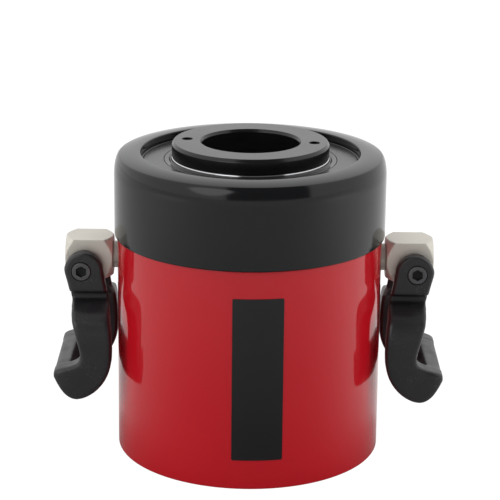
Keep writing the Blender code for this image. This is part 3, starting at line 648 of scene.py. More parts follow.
def new_object(name, patches, material):
    """One object from numpy patches, welded at seams and poles, with faces pointing outwards."""
    start = np.cumsum([0, *(len(points) for points, _ in patches)])[:-1]
    points = np.concatenate([points for points, _ in patches])
    faces = np.concatenate([faces + first for (_, faces), first in zip(patches, start)])
    mesh = bpy.data.meshes.new(name)
    mesh.from_pydata(points.tolist(), [], faces.tolist())
    mesh.materials.append(material)
    shape = bmesh.new()
    shape.from_mesh(mesh)
    bmesh.ops.remove_doubles(shape, verts=shape.verts, dist=0.000002)
    bmesh.ops.recalc_face_normals(shape, faces=shape.faces)
    shape.to_mesh(mesh)
    shape.free()
    piece = bpy.data.objects.new(name, mesh)
    bpy.context.scene.collection.objects.link(piece)
    return piece


def soften(piece, angle=32.0):
    """Smooth shading that breaks at sharp edges, with flat faces kept flat."""
    piece.data.shade_smooth()
    piece.data.set_sharp_from_angle(angle=math.radians(angle))
    even = piece.modifiers.new("even_faces", "WEIGHTED_NORMAL")
    even.keep_sharp = True


def settle(piece):
    """Replaces the mesh by what its modifiers make of it."""
    graph = bpy.context.evaluated_depsgraph_get()
    settled = bpy.data.meshes.new_from_object(piece.evaluated_get(graph), depsgraph=graph)
    piece.modifiers.clear()
    piece.data = settled


def carve(piece, cutters, material=None):
    """Cuts the cutters' patches out of a piece; the cut faces get the material."""
    coat = material or piece.data.materials[0]
    tools = []
    for number, patch in enumerate(cutters):
        tool = new_object(f"{piece.name}_cutter_{number}", [patch], coat)
        cut = piece.modifiers.new(tool.name, "BOOLEAN")
        cut.operation = "DIFFERENCE"
        cut.solver = "EXACT"
        cut.material_mode = "TRANSFER"
        cut.object = tool
        tools.append(tool)
    settle(piece)
    for tool in tools:
        bpy.data.objects.remove(tool, do_unlink=True)


def dress(node, patches, finish_name=None):
    """A finished piece in the place of a CAD node, with its slot's finish or the one named."""
    slot = slot_of[node]
    piece = new_object(f"fine_{node}", patches, material_for(finish_name or slot))
    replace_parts(piece, node)
    return piece


def seat(piece, node, angle=32.0):
    soften(piece, angle)
    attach(piece, frame["nodes"][node]["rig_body"])


def dress_whole(node, patches, finish_name=None):
    seat(dress(node, patches, finish_name), node)


def dress_round(node, corners, steps=256, finish_name=None):
    """A finished piece that is one outline carried round the cylinder's axis."""
    dress_whole(node, [upright(spun(corners, steps))], finish_name)


class CylinderOperator(bpy.types.Operator):
    """Common part of the operators that build one group of pieces."""

    bl_options = {"REGISTER"}

    def execute(self, context):
        self.build(context.scene.cylinder)
        return {"FINISHED"}


class CYLINDER_OT_barrel(CylinderOperator):
    """Builds the red barrel with its base, collar and every hole drilled in it"""

    bl_idname = "cylinder.barrel"
    bl_label = "Barrel"

    def build(self, sizes):
        barrel, hoist, coupler = sizes.barrel, sizes.hoist, sizes.coupler
        tube_hole = sizes.plunger.tube + gap
        seat_radius = sizes.head.stop_ring + gap
        seat_foot = sizes.head.stop_foot - gap
        outline = [
            (tube_hole, 0, 0.0005),
            (barrel.radius, 0, barrel.foot_edge),
            (barrel.radius, barrel.collar_foot, 0.0006),
            (barrel.collar, barrel.collar_foot, 0.0004),
            (barrel.collar, barrel.top, 0.0014),
            (seat_radius, barrel.top, 0.0005),
            (seat_radius, seat_foot, 0),
            (barrel.bore, seat_foot, 0.0005),
            (barrel.bore, barrel.base, 0.0020),
            (tube_hole, barrel.base, 0.0005),
        ]
        piece = dress("cylinder_body", [upright(spun(outline, 256))])
        quarter = np.arange(4) * math.pi / 2 + math.pi / 4
        far = 2 * barrel.radius
        chamfer = 0.0008
        hole, mouth, depth = barrel.bolt_hole, barrel.bolt_hole + chamfer, barrel.bolt_depth
        bolt = [(0, -far), (mouth, -far), (mouth, 0), (hole, chamfer), (hole, depth)]
        bolt += [(0, depth + 0.004)]
        cutters = [
            moved(spun(bolt, 48), Matrix.Translation((x, y, 0)))
            for x, y in barrel.bolt_circle * np.stack([np.cos(quarter), np.sin(quarter)], 1)
        ]
        deep = hoist.face - 0.0198
        shank = hoist.bolt + gap
        spot = 0.0133
        stem = [(0, deep), (shank, deep), (shank, hoist.face), (spot, hoist.face)]
        stem += [(spot, far), (0, far)]
        for side in ("right", "left"):
            cutters.append(moved(spun(stem, 64), outwards(hoist.height, side)))
        inside = barrel.bore / 2
        face = coupler.foot - gap
        step = face - 0.017
        oil, thread, spot = 0.0040, 0.0083, 0.0195
        port = [(0, inside), (oil, inside), (oil, step), (thread, step), (thread, face)]
        port += [(spot, face), (spot, far), (0, far)]
        cutters.append(moved(spun(port, 64), backwards(coupler.height)))
        screw = [(0, barrel.bore), (0.0043, barrel.bore), (0.0043, far), (0, far)]
        cutters.append(moved(spun(screw, 32), backwards(sizes.head.set_screw)))
        carve(piece, cutters, material_for("tube_steel"))
        self.bare_inside(piece.data, barrel)
        seat(piece, "cylinder_body")

    def bare_inside(self, mesh, barrel):
        """The paint stops at the collar and the holes. Faces further in are bare steel, and the
        collar's top is phosphated."""
        steel = mesh.materials.find(material_for("tube_steel").name)
        mesh.materials.append(material_for("phosphate"))
        centres = np.empty(len(mesh.polygons) * 3)
        mesh.polygons.foreach_get("center", centres)
        x, y, z = centres.reshape(-1, 3).T
        outer = np.hypot(x, y - axis_y) > barrel.radius - 0.0025
        painted = (outer & (z < barrel.collar_foot + 0.0001)) | ((z < 0.0001) & ~outer)
        inside = np.where(painted, 0, steel)
        inside[z > barrel.top - 0.0030] = len(mesh.materials) - 1
        now = np.empty(len(mesh.polygons), np.int32)
        mesh.polygons.foreach_get("material_index", now)
        mesh.polygons.foreach_set("material_index", np.maximum(now, inside).astype(np.int32))


class CYLINDER_OT_head(CylinderOperator):
    """Builds the black head ring, the stop ring, its guide ring, wiper and set screw"""

    bl_idname = "cylinder.head"
    bl_label = "Head"

    def build(self, sizes):
        """The head ring's shoulder is (R - s (1 - cos a), T - c - d (1 - sin a)) for a up to 85
        degrees, and its crown (r, T - c u^2), where u goes from 1 at the shoulder to 0 near the
        lip."""
        head, barrel, plunger = sizes.head, sizes.barrel, sizes.plunger
        inner = barrel.collar + gap
        foot = barrel.collar_foot + gap
        turn = np.radians(np.linspace(0, 85, 18))
        across = head.radius - head.shoulder * (1 - np.cos(turn))
        up = head.top - head.crown - head.shoulder_drop * (1 - np.sin(turn))
        u = np.linspace(1, 0, 9)[1:]
        level = head.lip + 0.002
        crown = zip(level + (across[-1] - level) * u, head.top - head.crown * u**2)
        outline = [
            (inner, foot, 0.0004),
            (head.radius, foot, 0.0010),
            *zip(across, up),
            *crown,
            (head.lip, head.top, 0.0009),
            (head.lip, barrel.top + gap, 0.0003),
            (inner, barrel.top + gap, 0.0005),
        ]
        dress_round("thread_protector", outline)
        bore = plunger.radius + 0.0008
        floor = bore + 0.0027
        heel = bore + 0.0050
        low = head.stop_foot
        outline = [
            (bore, low, 0.0004),
            (head.stop_ring, low, 0.0004),
            (head.stop_ring, barrel.top, 0.0006),
            (heel, barrel.top, 0.0004),
            (heel, barrel.top - 0.0062, 0),
            (bore, barrel.top - 0.0062, 0),
            (bore, low + 0.016, 0),
            (floor, low + 0.016, 0),
            (floor, low + 0.005, 0),
            (bore, low + 0.005, 0),
        ]
        dress_round("stop_ring", outline)
        contact = plunger.radius + gap
        guide = ring(contact, floor - gap, low + 0.0053, low + 0.0157)
        dress_round("rod_bearing", guide, 192)
        lip = [
            (contact, barrel.top - 0.0059, 0.0003),
            (heel - gap, barrel.top - 0.0059, 0.0003),
            (heel - gap, barrel.top, 0.0004),
            (contact + 0.0016, barrel.top - 0.0004, 0.0006),
            (contact + 0.0006, barrel.top + head.wiper_lip, 0.0002),
            (contact, barrel.top + head.wiper_lip, 0.0001),
        ]
        dress_round("wiper_ring", lip, 256, "wiper_plastic")
        low, high = head.stop_ring - 0.0015, head.stop_ring + 0.0175
        corner, flat, floor = 0.0023, 0.0020, high - 0.0095
        screw = [(0, low), (0.0028, low), (0.0040, low + 0.0012, 0.0002), (0.0040, high, 0.0004)]
        screw += [(corner, high, 0.0001, flat), (corner, floor, 0, flat), (0, floor)]
        patch = moved(spun(screw, 48), backwards(head.set_screw))
        dress_whole("stop_ring_set_screw", [patch], "black_oxide_screw")


class CYLINDER_OT_plunger(CylinderOperator):
    """Builds the plunger with its rings and seals, and the saddle on top"""

    bl_idname = "cylinder.plunger"
    bl_label = "Plunger and saddle"

    def build(self, sizes):
        plunger, barrel = sizes.plunger, sizes.barrel
        foot = plunger.piston_foot
        top = foot + plunger.piston
        outer = barrel.bore - 0.0004
        bore = plunger.tube + 0.0008
        socket = plunger.top - 0.0186
        outline = [
            (bore, foot, 0.0005),
            (outer - 0.0045, foot, 0.0008),
            (outer - 0.0045, foot + 0.009, 0.0004),
            (outer, foot + 0.009, 0.0004),
            *self.groove(outer, foot + 0.012, foot + 0.018, -0.0028),
            *self.groove(outer, foot + 0.021, foot + 0.0305, -0.0060),
            (outer, top, 0.0006),
            (plunger.radius, top, 0.0004),
            (plunger.radius, plunger.top, 0.0010),
            (0.0540, plunger.top, 0.0004),
            (0.0540, socket, 0),
            (bore, socket, 0.0008),
            *self.groove(bore, foot + 0.029, foot + 0.020, 0.0026),
            *self.groove(bore, foot + 0.0135, foot + 0.006, 0.0056),
        ]
        dress_round("plunger", outline)
        reach = barrel.bore - gap
        near = plunger.tube + gap
        for node, inner, outside, low, high, edge in (
            ("piston_wear_ring", outer - 0.0025, reach, 0.0123, 0.0177, 0.0004),
            ("piston_backup_ring", outer - 0.0057, reach, 0.0276, 0.0302, 0.0003),
            ("piston_seal", outer - 0.0057, reach, 0.0213, 0.0273, 0.0010),
            ("tube_seal", near, bore + 0.0053, 0.0063, 0.0132, 0.0010),
            ("tube_bearing", near, bore + 0.0023, 0.0203, 0.0287, 0.0004),
        ):
            dress_round(node, ring(inner, outside, foot + low, foot + high, edge), 192)
        self.build_saddle(plunger)

    def groove(self, radius, low, high, depth):
        """The four corners of a groove; its depth is negative where it is cut from outside."""
        floor = radius + depth
        return [(radius, low, 0.0002), (floor, low, 0), (floor, high, 0), (radius, high, 0.0002)]

    def build_saddle(self, plunger):
        low = plunger.top - 0.0183
        step = plunger.top + gap
        high = plunger.saddle_top
        outline = [
            (plunger.saddle_bore, low, 0.0006),
            (0.0537, low, 0.0006),
            (0.0537, step, 0),
            (plunger.saddle, step, 0.0004),
            (plunger.saddle, high - 0.0024, 0.0012),
            (plunger.saddle - 0.0017, high, 0.0012),
            (plunger.saddle_bore + 0.0014, high, 0.0008),
            (plunger.saddle_bore, high - 0.0022, 0.0008),
        ]
        piece = dress("saddle", [upright(spun(outline, 256))], "saddle_oxide")
        hole = plunger.spanner_hole
        mouth = hole + 0.0004
        cutter = [(0, high - 0.0080), (hole, high - 0.0062), (hole, high - 0.0004)]
        cutter += [(mouth, high), (mouth, high + 0.01), (0, high + 0.01)]
        turns = math.radians(-5.2) + np.array([0, math.pi])
        places = plunger.spanner_circle * np.stack([np.cos(turns), np.sin(turns)], 1)
        carve(piece, [moved(spun(cutter, 48), Matrix.Translation((x, y, 0))) for x, y in places])
        seat(piece, "saddle")


class CYLINDER_OT_tube(CylinderOperator):
    """Builds the centre tube, its O-ring and the return spring"""

    bl_idname = "cylinder.tube"
    bl_label = "Centre tube and spring"

    def build(self, sizes):
        plunger, barrel = sizes.plunger, sizes.barrel
        outer = plunger.tube
        groove = outer - 0.0024
        shelf = barrel.base + gap
        outline = [
            (plunger.tube_bore, 0.0005, 0.0008),
            (outer, 0.0005, 0.0005),
            (outer, 0.0125, 0.0001),
            (groove, 0.0125, 0),
            (groove, 0.0155, 0),
            (outer, 0.0155, 0.0001),
            (outer, shelf, 0),
            (outer + 0.004, shelf, 0.0003),
            (outer + 0.004, shelf + 0.004, 0.0006),
            (outer, shelf + 0.004, 0.0004),
            (outer, plunger.tube_top, 0.0015),
            (plunger.tube_bore, plunger.tube_top, 0.0005),
        ]
        dress_round("centre_tube", outline)
        turn = np.linspace(0, math.tau, 24, endpoint=False)
        middle = (groove + outer + gap) / 2
        section = np.stack([middle + 0.0012 * np.cos(turn), 0.014 + 0.0012 * np.sin(turn)], 1)
        dress_round("tube_oring", section.tolist(), 192)
        top = sizes.head.stop_foot - gap
        foot = plunger.piston_foot + plunger.piston + gap
        stroke = 0.0762
        closed = top - foot - stroke
        turns = closed / (2 * plunger.wire + 0.0005)
        radius = (plunger.radius + barrel.bore) / 2
        spring = dress("return_spring", [upright(helix(radius, plunger.wire, turns, foot, top))])
        seat(spring, "return_spring", 60)
        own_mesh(spring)


class CYLINDER_OT_label(CylinderOperator):
    """Builds the bare black label on the barrel's front"""

    bl_idname = "cylinder.label"
    bl_label = "Label"

    def build(self, sizes):
        """Rings of a rounded rectangle from its middle outwards, bent round the barrel:
        (R sin u, -R cos u, z) with u = across / R."""
        label = sizes.label
        inner = sizes.barrel.radius + 0.00012
        half, tall = label.width / 2, label.height / 2
        corners = [(half, -tall, label.corner), (half, tall, label.corner)]
        corners += [(-half, tall, label.corner), (-half, -tall, label.corner)]
        edge = self.refined(rounded(corners, 6)[:, :2], 0.0012)
        shares = np.linspace(0, 1, 24)
        face = [(s, 1.0) for s in shares[:-1]]
        side = [(0.999, 1.0), (1.0, 0.75), (1.0, 0.0)]
        back = [(s, 0.0) for s in shares[::-1]]
        share_out, lift = np.array(face + side + back).T
        flat = share_out[:, None, None] * edge[None]
        radius = inner + label.film * lift[:, None]
        turn = (flat[..., 0] + label.middle) / inner
        height = label.foot + tall + flat[..., 1]
        points = np.stack([radius * np.sin(turn), -radius * np.cos(turn), height], -1)
        patch = points.reshape(-1, 3), grid_faces(*points.shape[:2])
        dress_whole("label_plate", [upright(patch)])

    def refined(self, outline, step):
        """The closed outline with a point at least every step along it."""
        closed = np.vstack([outline, outline[:1]])
        along = np.concatenate([[0], np.cumsum(np.linalg.norm(np.diff(closed, axis=0), axis=1))])
        even = np.arange(0, along[-1], step)
        places = np.union1d(along[:-1], even)
        return np.stack([np.interp(places, along, closed[:, n]) for n in (0, 1)], 1)


class CYLINDER_OT_hoist(CylinderOperator):
    """Builds the swivel blocks of the hoist rings with their bushings, bolts and pivot screws"""

    bl_idname = "cylinder.hoist"
    bl_label = "Hoist blocks"

    def build(self, sizes):
        hoist, bail = sizes.hoist, sizes.bail
        foot, end = hoist.block_foot, hoist.block_foot + hoist.block
        head_seat = end - hoist.recess
        half = hoist.width / 2
        sleeve = 0.0095
        bolt_gap = hoist.bolt + gap
        flange_foot = hoist.face + gap
        bushing = [
            (bolt_gap, flange_foot, 0.0003),
            (hoist.flange, flange_foot, 0.0004),
            (hoist.flange, foot - gap, 0.0004),
            (sleeve, foot - gap, 0.0002),
            (sleeve, head_seat, 0.0004),
            (bolt_gap, head_seat, 0.0003),
        ]
        corner = half * math.sqrt(2) + 0.0003
        steps = np.linspace(0, corner - hoist.end, 15)[2:]
        recess = hoist.head + gap
        block = [
            (sleeve + gap, foot, 0.0005, half),
            (hoist.end, foot, 0.0006, half),
            *((hoist.end + step, foot + step, 0, half) for step in steps),
            *((hoist.end + step, end - step, 0, half) for step in steps[::-1]),
            (hoist.end, end, 0.0006, half),
            (recess, end, 0.0006, half),
            (recess, head_seat - gap, 0.0003),
            (sleeve + gap, head_seat - gap, 0.0003),
        ]
        low = hoist.face - 0.0195
        head_foot = head_seat + gap
        head_top = head_foot + 0.0076
        bolt = self.socket_screw(low, hoist.bolt, head_foot, hoist.head, head_top, 0.0050, 0.0042)
        lug_outer = half + gap + bail.thickness
        screw_top = lug_outer + gap
        tip, thread, shoulder = half - 0.0053, 0.0040, 0.0050
        screw = [(0, tip), (0.0034, tip), (thread, half - 0.0047), (thread, half + gap)]
        screw += [(shoulder, half + gap, 0.0002)]
        head_foot = screw_top - 0.0046
        screw += self.socket_screw(
            0, shoulder, head_foot, hoist.screw_head, screw_top, 0.0040, 0.0028
        )[3:]
        for side in ("right", "left"):
            stem = outwards(hoist.height, side)
            dress_whole(f"hoist_bushing_{side}", [moved(spun(bushing, 96), stem)], "nickel_plate")
            self.dress_screw(f"hoist_bolt_{side}", bolt, stem)
            eased = spun(block, 192, 6, sides=4, sharpness=70)
            quarter = Matrix.Rotation(math.pi / 4, 4, "Z")
            dress_whole(f"hoist_block_{side}", [moved(eased, stem @ quarter)])
            pivot = Vector((hoist.drop, 0, foot + hoist.outward))
            for way, turn in (("front", math.pi / 2), ("back", -math.pi / 2)):
                place = stem @ turned_to(pivot, (turn, 0, 0))
                self.dress_screw(f"pivot_screw_{side}_{way}", screw, place)

    def dress_screw(self, node, outline, place):
        """A screw whose socket faces take a darker finish, painted shade in the hole; its outline
        ends with the socket's wall and floor."""
        piece = dress(node, [moved(spun(outline, 96), place)], "black_oxide_screw")
        piece.data.materials.append(material_for("socket_oil"))
        to_screw = place.inverted() @ Matrix.Translation((0, -axis_y, 0))
        (corner, mouth, *_), (_, floor) = outline[-3], outline[-1]
        # The faces inside the socket take the darker finish: painted shade in the hole.
        for face in piece.data.polygons:
            at = to_screw @ face.center
            if math.hypot(at.x, at.y) < corner and floor < at.z < mouth:
                face.material_index = 1
        seat(piece, node)

    def socket_screw(self, low, shank, head_foot, head, head_top, flat, depth):
        """A screw with a sunk hexagon whose floor is a shallow cone."""
        corner = flat / math.cos(math.pi / 6)
        return [
            (0, low),
            (shank - 0.0008, low, 0.0001),
            (shank, low + 0.0008, 0.0001),
            (shank, head_foot, 0.0002),
            (head, head_foot, 0.0003),
            (head, head_top, 0.0007),
            (corner + 0.0002, head_top, 0.0001, flat + 0.0002),
            (corner, head_top - 0.0003, 0, flat),
            (corner, head_top - depth, 0, flat),
            (0, head_top - depth - 0.0008),
        ]


class CYLINDER_OT_bails(CylinderOperator):
    """Builds the forged bails: two lofted legs and a bar under one skin, drilled for the screws"""

    bl_idname = "cylinder.bails"
    bl_label = "Bails"

    def build(self, sizes):
        hoist, bail = sizes.hoist, sizes.bail
        distance = hoist.block_foot + hoist.outward
        height = hoist.height - hoist.drop
        at = Matrix.Translation((distance, 0, height))
        patches = [moved(patch, at) for patch in (*self.legs(hoist, bail), self.bar())]
        piece = dress("bail_right", patches)
        skin = piece.modifiers.new("skin", "REMESH")
        skin.mode = "VOXEL"
        skin.voxel_size = bail.voxel
        ease = piece.modifiers.new("ease", "SMOOTH")
        ease.factor = 0.5
        ease.iterations = 6
        settle(piece)
        piece.data.materials.clear()
        piece.data.materials.append(material_for("forged_black"))
        lug_inner = hoist.width / 2 + gap
        sunk = lug_inner + bail.thickness - 0.0046
        recess = hoist.screw_head + 0.0004
        wide = 2 * bail.outside
        through = [(0, -wide), (0.0053, -wide), (0.0053, wide), (0, wide)]
        mouth = lug_inner + bail.thickness
        rim = recess + 0.0008
        sink = [(0, sunk), (recess, sunk), (recess, mouth - 0.0003), (rim, mouth + 0.0005)]
        sink += [(rim, wide), (0, wide)]
        cutters = [moved(spun(through, 64), at @ turned_to((0, 0, 0), (math.pi / 2, 0, 0)))]
        for turn in (math.pi / 2, -math.pi / 2):
            cutters.append(moved(spun(sink, 96), at @ turned_to((0, 0, 0), (turn, 0, 0))))
        carve(piece, cutters)
        self.add_left(piece)
        seat(piece, "bail_right", 40)

    def add_left(self, right):
        """The left bail: (x, y) becomes (-x, -y) about the cylinder's axis."""
        left = right.copy()
        left.data = right.data.copy()
        left.name = "fine_bail_left"
        about = Matrix.Translation((0, axis_y, 0)) @ Matrix.Rotation(math.pi, 4, "Z")
        left.data.transform(about @ Matrix.Translation((0, -axis_y, 0)))
        bpy.context.scene.collection.objects.link(left)
        left["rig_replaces"] = []
        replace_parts(left, "bail_left")
        seat(left, "bail_left", 40)

    def legs(self, hoist, bail):
        """Rounded rectangles through the stations: C + e (S w + c r) + f (s h + d r), where e runs
        from the heel to the far side, f along Y, and S, s are the corner's signs, c, d its arc."""
        lug_inner = hoist.width / 2 + gap
        lug_outer = lug_inner + bail.thickness
        turn = np.radians([4, 16, 32, 54, 74])
        reach, down = bail.lug * np.sin(turn), -bail.lug * np.cos(turn)
        level = 0 * turn
        lug = np.stack([reach - bail.set_back, down, -reach - bail.set_back, down, level, level], 1)
        leg = np.array(
            [
                (0.0138, 0.0000, -0.0172, 0.0000, 0.00, 0.00),
                (0.0114, 0.0100, -0.0189, 0.0100, 0.00, 0.00),
                (0.0100, 0.0160, -0.0200, 0.0160, 0.00, 0.00),
                (0.0098, 0.0172, -0.0202, 0.0172, 0.00, -0.05),
                (0.0096, 0.0186, -0.0204, 0.0186, 0.00, -0.30),
                (0.0089, 0.0222, -0.0210, 0.0222, 0.00, -0.33),
                (0.0084, 0.0250, -0.0215, 0.0250, 0.02, -0.27),
                (0.0079, 0.0275, -0.0220, 0.0275, 0.14, 0.20),
                (0.0074, 0.0300, -0.0226, 0.0300, 0.34, 0.58),
                (0.0068, 0.0330, -0.0232, 0.0330, 0.56, 0.80),
                (0.0062, 0.0370, -0.0237, 0.0370, 0.80, 0.92),
                (0.0040, 0.0460, -0.0246, 0.0470, 1.00, 1.00),
                (0.0012, 0.0570, -0.0250, 0.0620, 1.00, 1.00),
                (0.0001, 0.0635, -0.0240, 0.0740, 1.00, 1.00),
                (0.0007, 0.0675, -0.0198, 0.0848, 1.00, 1.00),
                (0.0028, 0.0702, -0.0125, 0.0938, 1.00, 1.00),
                (0.0062, 0.0721, -0.0035, 0.0995, 1.00, 1.00),
                (0.0105, 0.0735, 0.0052, 0.1008, 1.00, 1.00),
                (0.0150, 0.0747, 0.0125, 0.0966, 1.00, 0.99),
                (0.0190, 0.0760, 0.0180, 0.0890, 1.00, 0.95),
                (0.0213, 0.0775, 0.0215, 0.0825, 1.00, 0.88),
            ]
        )
        stations = smooth_through(np.vstack([lug, leg]))
        away, heel = stations[:, :2], stations[:, 2:4]
        inner = lug_inner + (bail.inside - lug_inner) * stations[:, 4]
        outer = lug_outer + (bail.outside - lug_outer) * stations[:, 5]
        width = np.linalg.norm(away - heel, axis=1)
        thick = outer - inner
        edge = np.minimum(bail.edge, 0.45 * np.minimum(width, thick))[:, None]
        along = (away - heel) / width[:, None]
        turn = np.concatenate([np.linspace(0, math.pi / 2, 7) + math.pi / 2 * n for n in range(4)])
        to_side = np.repeat([1, -1, -1, 1], 7)
        to_face = np.repeat([1, 1, -1, -1], 7)
        reach = to_side * (width[:, None] / 2 - edge) + edge * np.cos(turn)
        across = to_face * (thick[:, None] / 2 - edge) + edge * np.sin(turn)
        centre = (away + heel) / 2
        flat = centre[:, None] + along[:, None] * reach[..., None]
        y = ((inner + outer) / 2)[:, None] + across
        for mirror in (1, -1):
            points = np.stack([flat[..., 0], mirror * y, -flat[..., 1]], -1)
            middle = points.mean(1, keepdims=True)
            yield closed_tube(points, middle[:1], middle[-1:])

    def bar(self):
        """The side view's rounded outline carried straight across, closed at both ends."""
        corners = [
            (0.0098, 0.0737, 0.002),
            (0.0186, 0.0760, 0.002),
            (0.0216, 0.0787, 0.0018),
            (0.0180, 0.0885, 0.006),
            (0.0120, 0.0966, 0.006),
            (0.0048, 0.1005, 0.006),
            (-0.0036, 0.0990, 0.004),
            (-0.0074, 0.0930, 0.003),
            (-0.0010, 0.0820, 0.006),
        ]
        outline = rounded(corners, 6)[:, :2]
        y = np.array([-0.04, -0.04, 0.04, 0.04])
        spread = np.array([0, 1, 1, 0])[:, None, None]
        middle = outline.mean(0)
        flat = middle + (outline - middle) * spread
        across = np.broadcast_to(y[:, None], flat.shape[:2])
        points = np.stack([flat[..., 0], across, -flat[..., 1]], -1)
        return points.reshape(-1, 3), grid_faces(4, len(outline))


class CYLINDER_OT_coupler(CylinderOperator):
    """Builds the oil coupler at the back with its ball valve, spring and dust cap"""

    bl_idname = "cylinder.coupler"
    bl_label = "Oil coupler"

    def build(self, sizes):
        coupler = sizes.coupler
        port = backwards(coupler.height)
        foot, end = coupler.foot, coupler.end
        flat = coupler.hexagon / 2
        corner = flat / math.cos(math.pi / 6)
        hex_end = foot + coupler.hexagon_length
        seat_foot = end - 0.012
        chamber = seat_foot - 0.019
        shank = foot - 0.017
        thread_rows = np.arange(hex_end + 0.0016, end - 0.0016, coupler.pitch / 8)
        outline = [
            (0.0040, shank, 0.0003),
            (0.0080, shank, 0.0006),
            (0.0080, foot, 0),
            (flat - 0.0004, foot, 0.0003, flat),
            (corner, foot + 0.0011, 0.0002, flat),
            (corner, hex_end - 0.0011, 0.0002, flat),
            (flat - 0.0004, hex_end, 0.0003, flat),
            (coupler.barrel - 0.0012, hex_end, 0.0003),
            *((coupler.barrel, z) for z in thread_rows),
            (coupler.barrel, end - 0.0015, 0.0003),
            (coupler.barrel - 0.0015, end, 0.0004),
            (0.0105, end, 0.0006),
            (0.0105, end - 0.008, 0.0003),
            (0.0052, end - 0.008, 0.0003),
            (0.0052, seat_foot, 0.0002),
            (0.0076, seat_foot, 0),
            (0.0076, chamber, 0.0008),
            (0.0040, chamber, 0.0003),
        ]

        def thread(angle, height, radius):
            """-depth |2 frac(height / pitch - angle / 2 pi) - 1|, on the barrel's own rows only."""
            phase = (height / coupler.pitch - angle / math.tau) % 1
            on_barrel = abs(radius - coupler.barrel) < 1e-5
            on_barrel &= (height > hex_end) & (height < end - 0.0014)
            return np.where(on_barrel, -0.0010 * abs(2 * phase - 1), 0)

        dress_whole("coupler_body", [moved(spun(outline, 120, 3, relief=thread), port)])
        ball = 0.0066
        ball_height = seat_foot - math.sqrt(ball**2 - 0.0052**2) - gap
        turn = np.linspace(-math.pi / 2, math.pi / 2, 33)
        profile = np.stack([ball * np.cos(turn), ball_height + ball * np.sin(turn)], 1)
        profile[[0, -1], 0] = 0
        dress_whole("coupler_ball", [moved(spun(profile.tolist(), 64), port)])
        wire = 0.0006
        spring_top = ball_height - math.sqrt(ball**2 - 0.0044**2) - wire
        foot_of_spring = chamber + gap
        coil = helix(0.0044, wire, 3.5, foot_of_spring, spring_top)
        spring = dress("coupler_spring", [moved(coil, port)])
        seat(spring, "coupler_spring", 60)
        free = spring_top - foot_of_spring
        (free - 0.0025) / free
        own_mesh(spring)
        self.build_cap(coupler, port)

    def build_cap(self, coupler, port):
        """The cap's side is R - depth |cos(n a / 2)|^1.5 between its two plain rims."""
        end = coupler.cap_end
        foot = end - coupler.cap_length
        inner = coupler.barrel + gap
        outline = [
            (0, coupler.end + gap),
            (inner, coupler.end + gap, 0.0004),
            (inner, foot, 0.0004),
            (coupler.cap, foot, 0.0005),
            *((coupler.cap, z) for z in np.linspace(foot + 0.0022, end - 0.0030, 14)),
            (coupler.cap, end, 0.0015),
            (0.0120, end, 0.0003),
            (0.0115, end - 0.0006, 0.0003),
            (0, end - 0.0006),
        ]

        def flutes(angle, height, radius):
            hollow = abs(np.cos(coupler.flutes * angle / 2)) ** 1.5
            rise = np.clip((height - foot - 0.0022) / 0.0012, 0, 1)
            fall = np.clip((end - 0.0030 - height) / 0.0012, 0, 1)
            return np.where(radius > coupler.cap - 1e-5, -0.0009 * hollow * (rise * fall), 0)

        dress_whole("dust_cap", [moved(spun(outline, 288, 4, relief=flutes), port)])


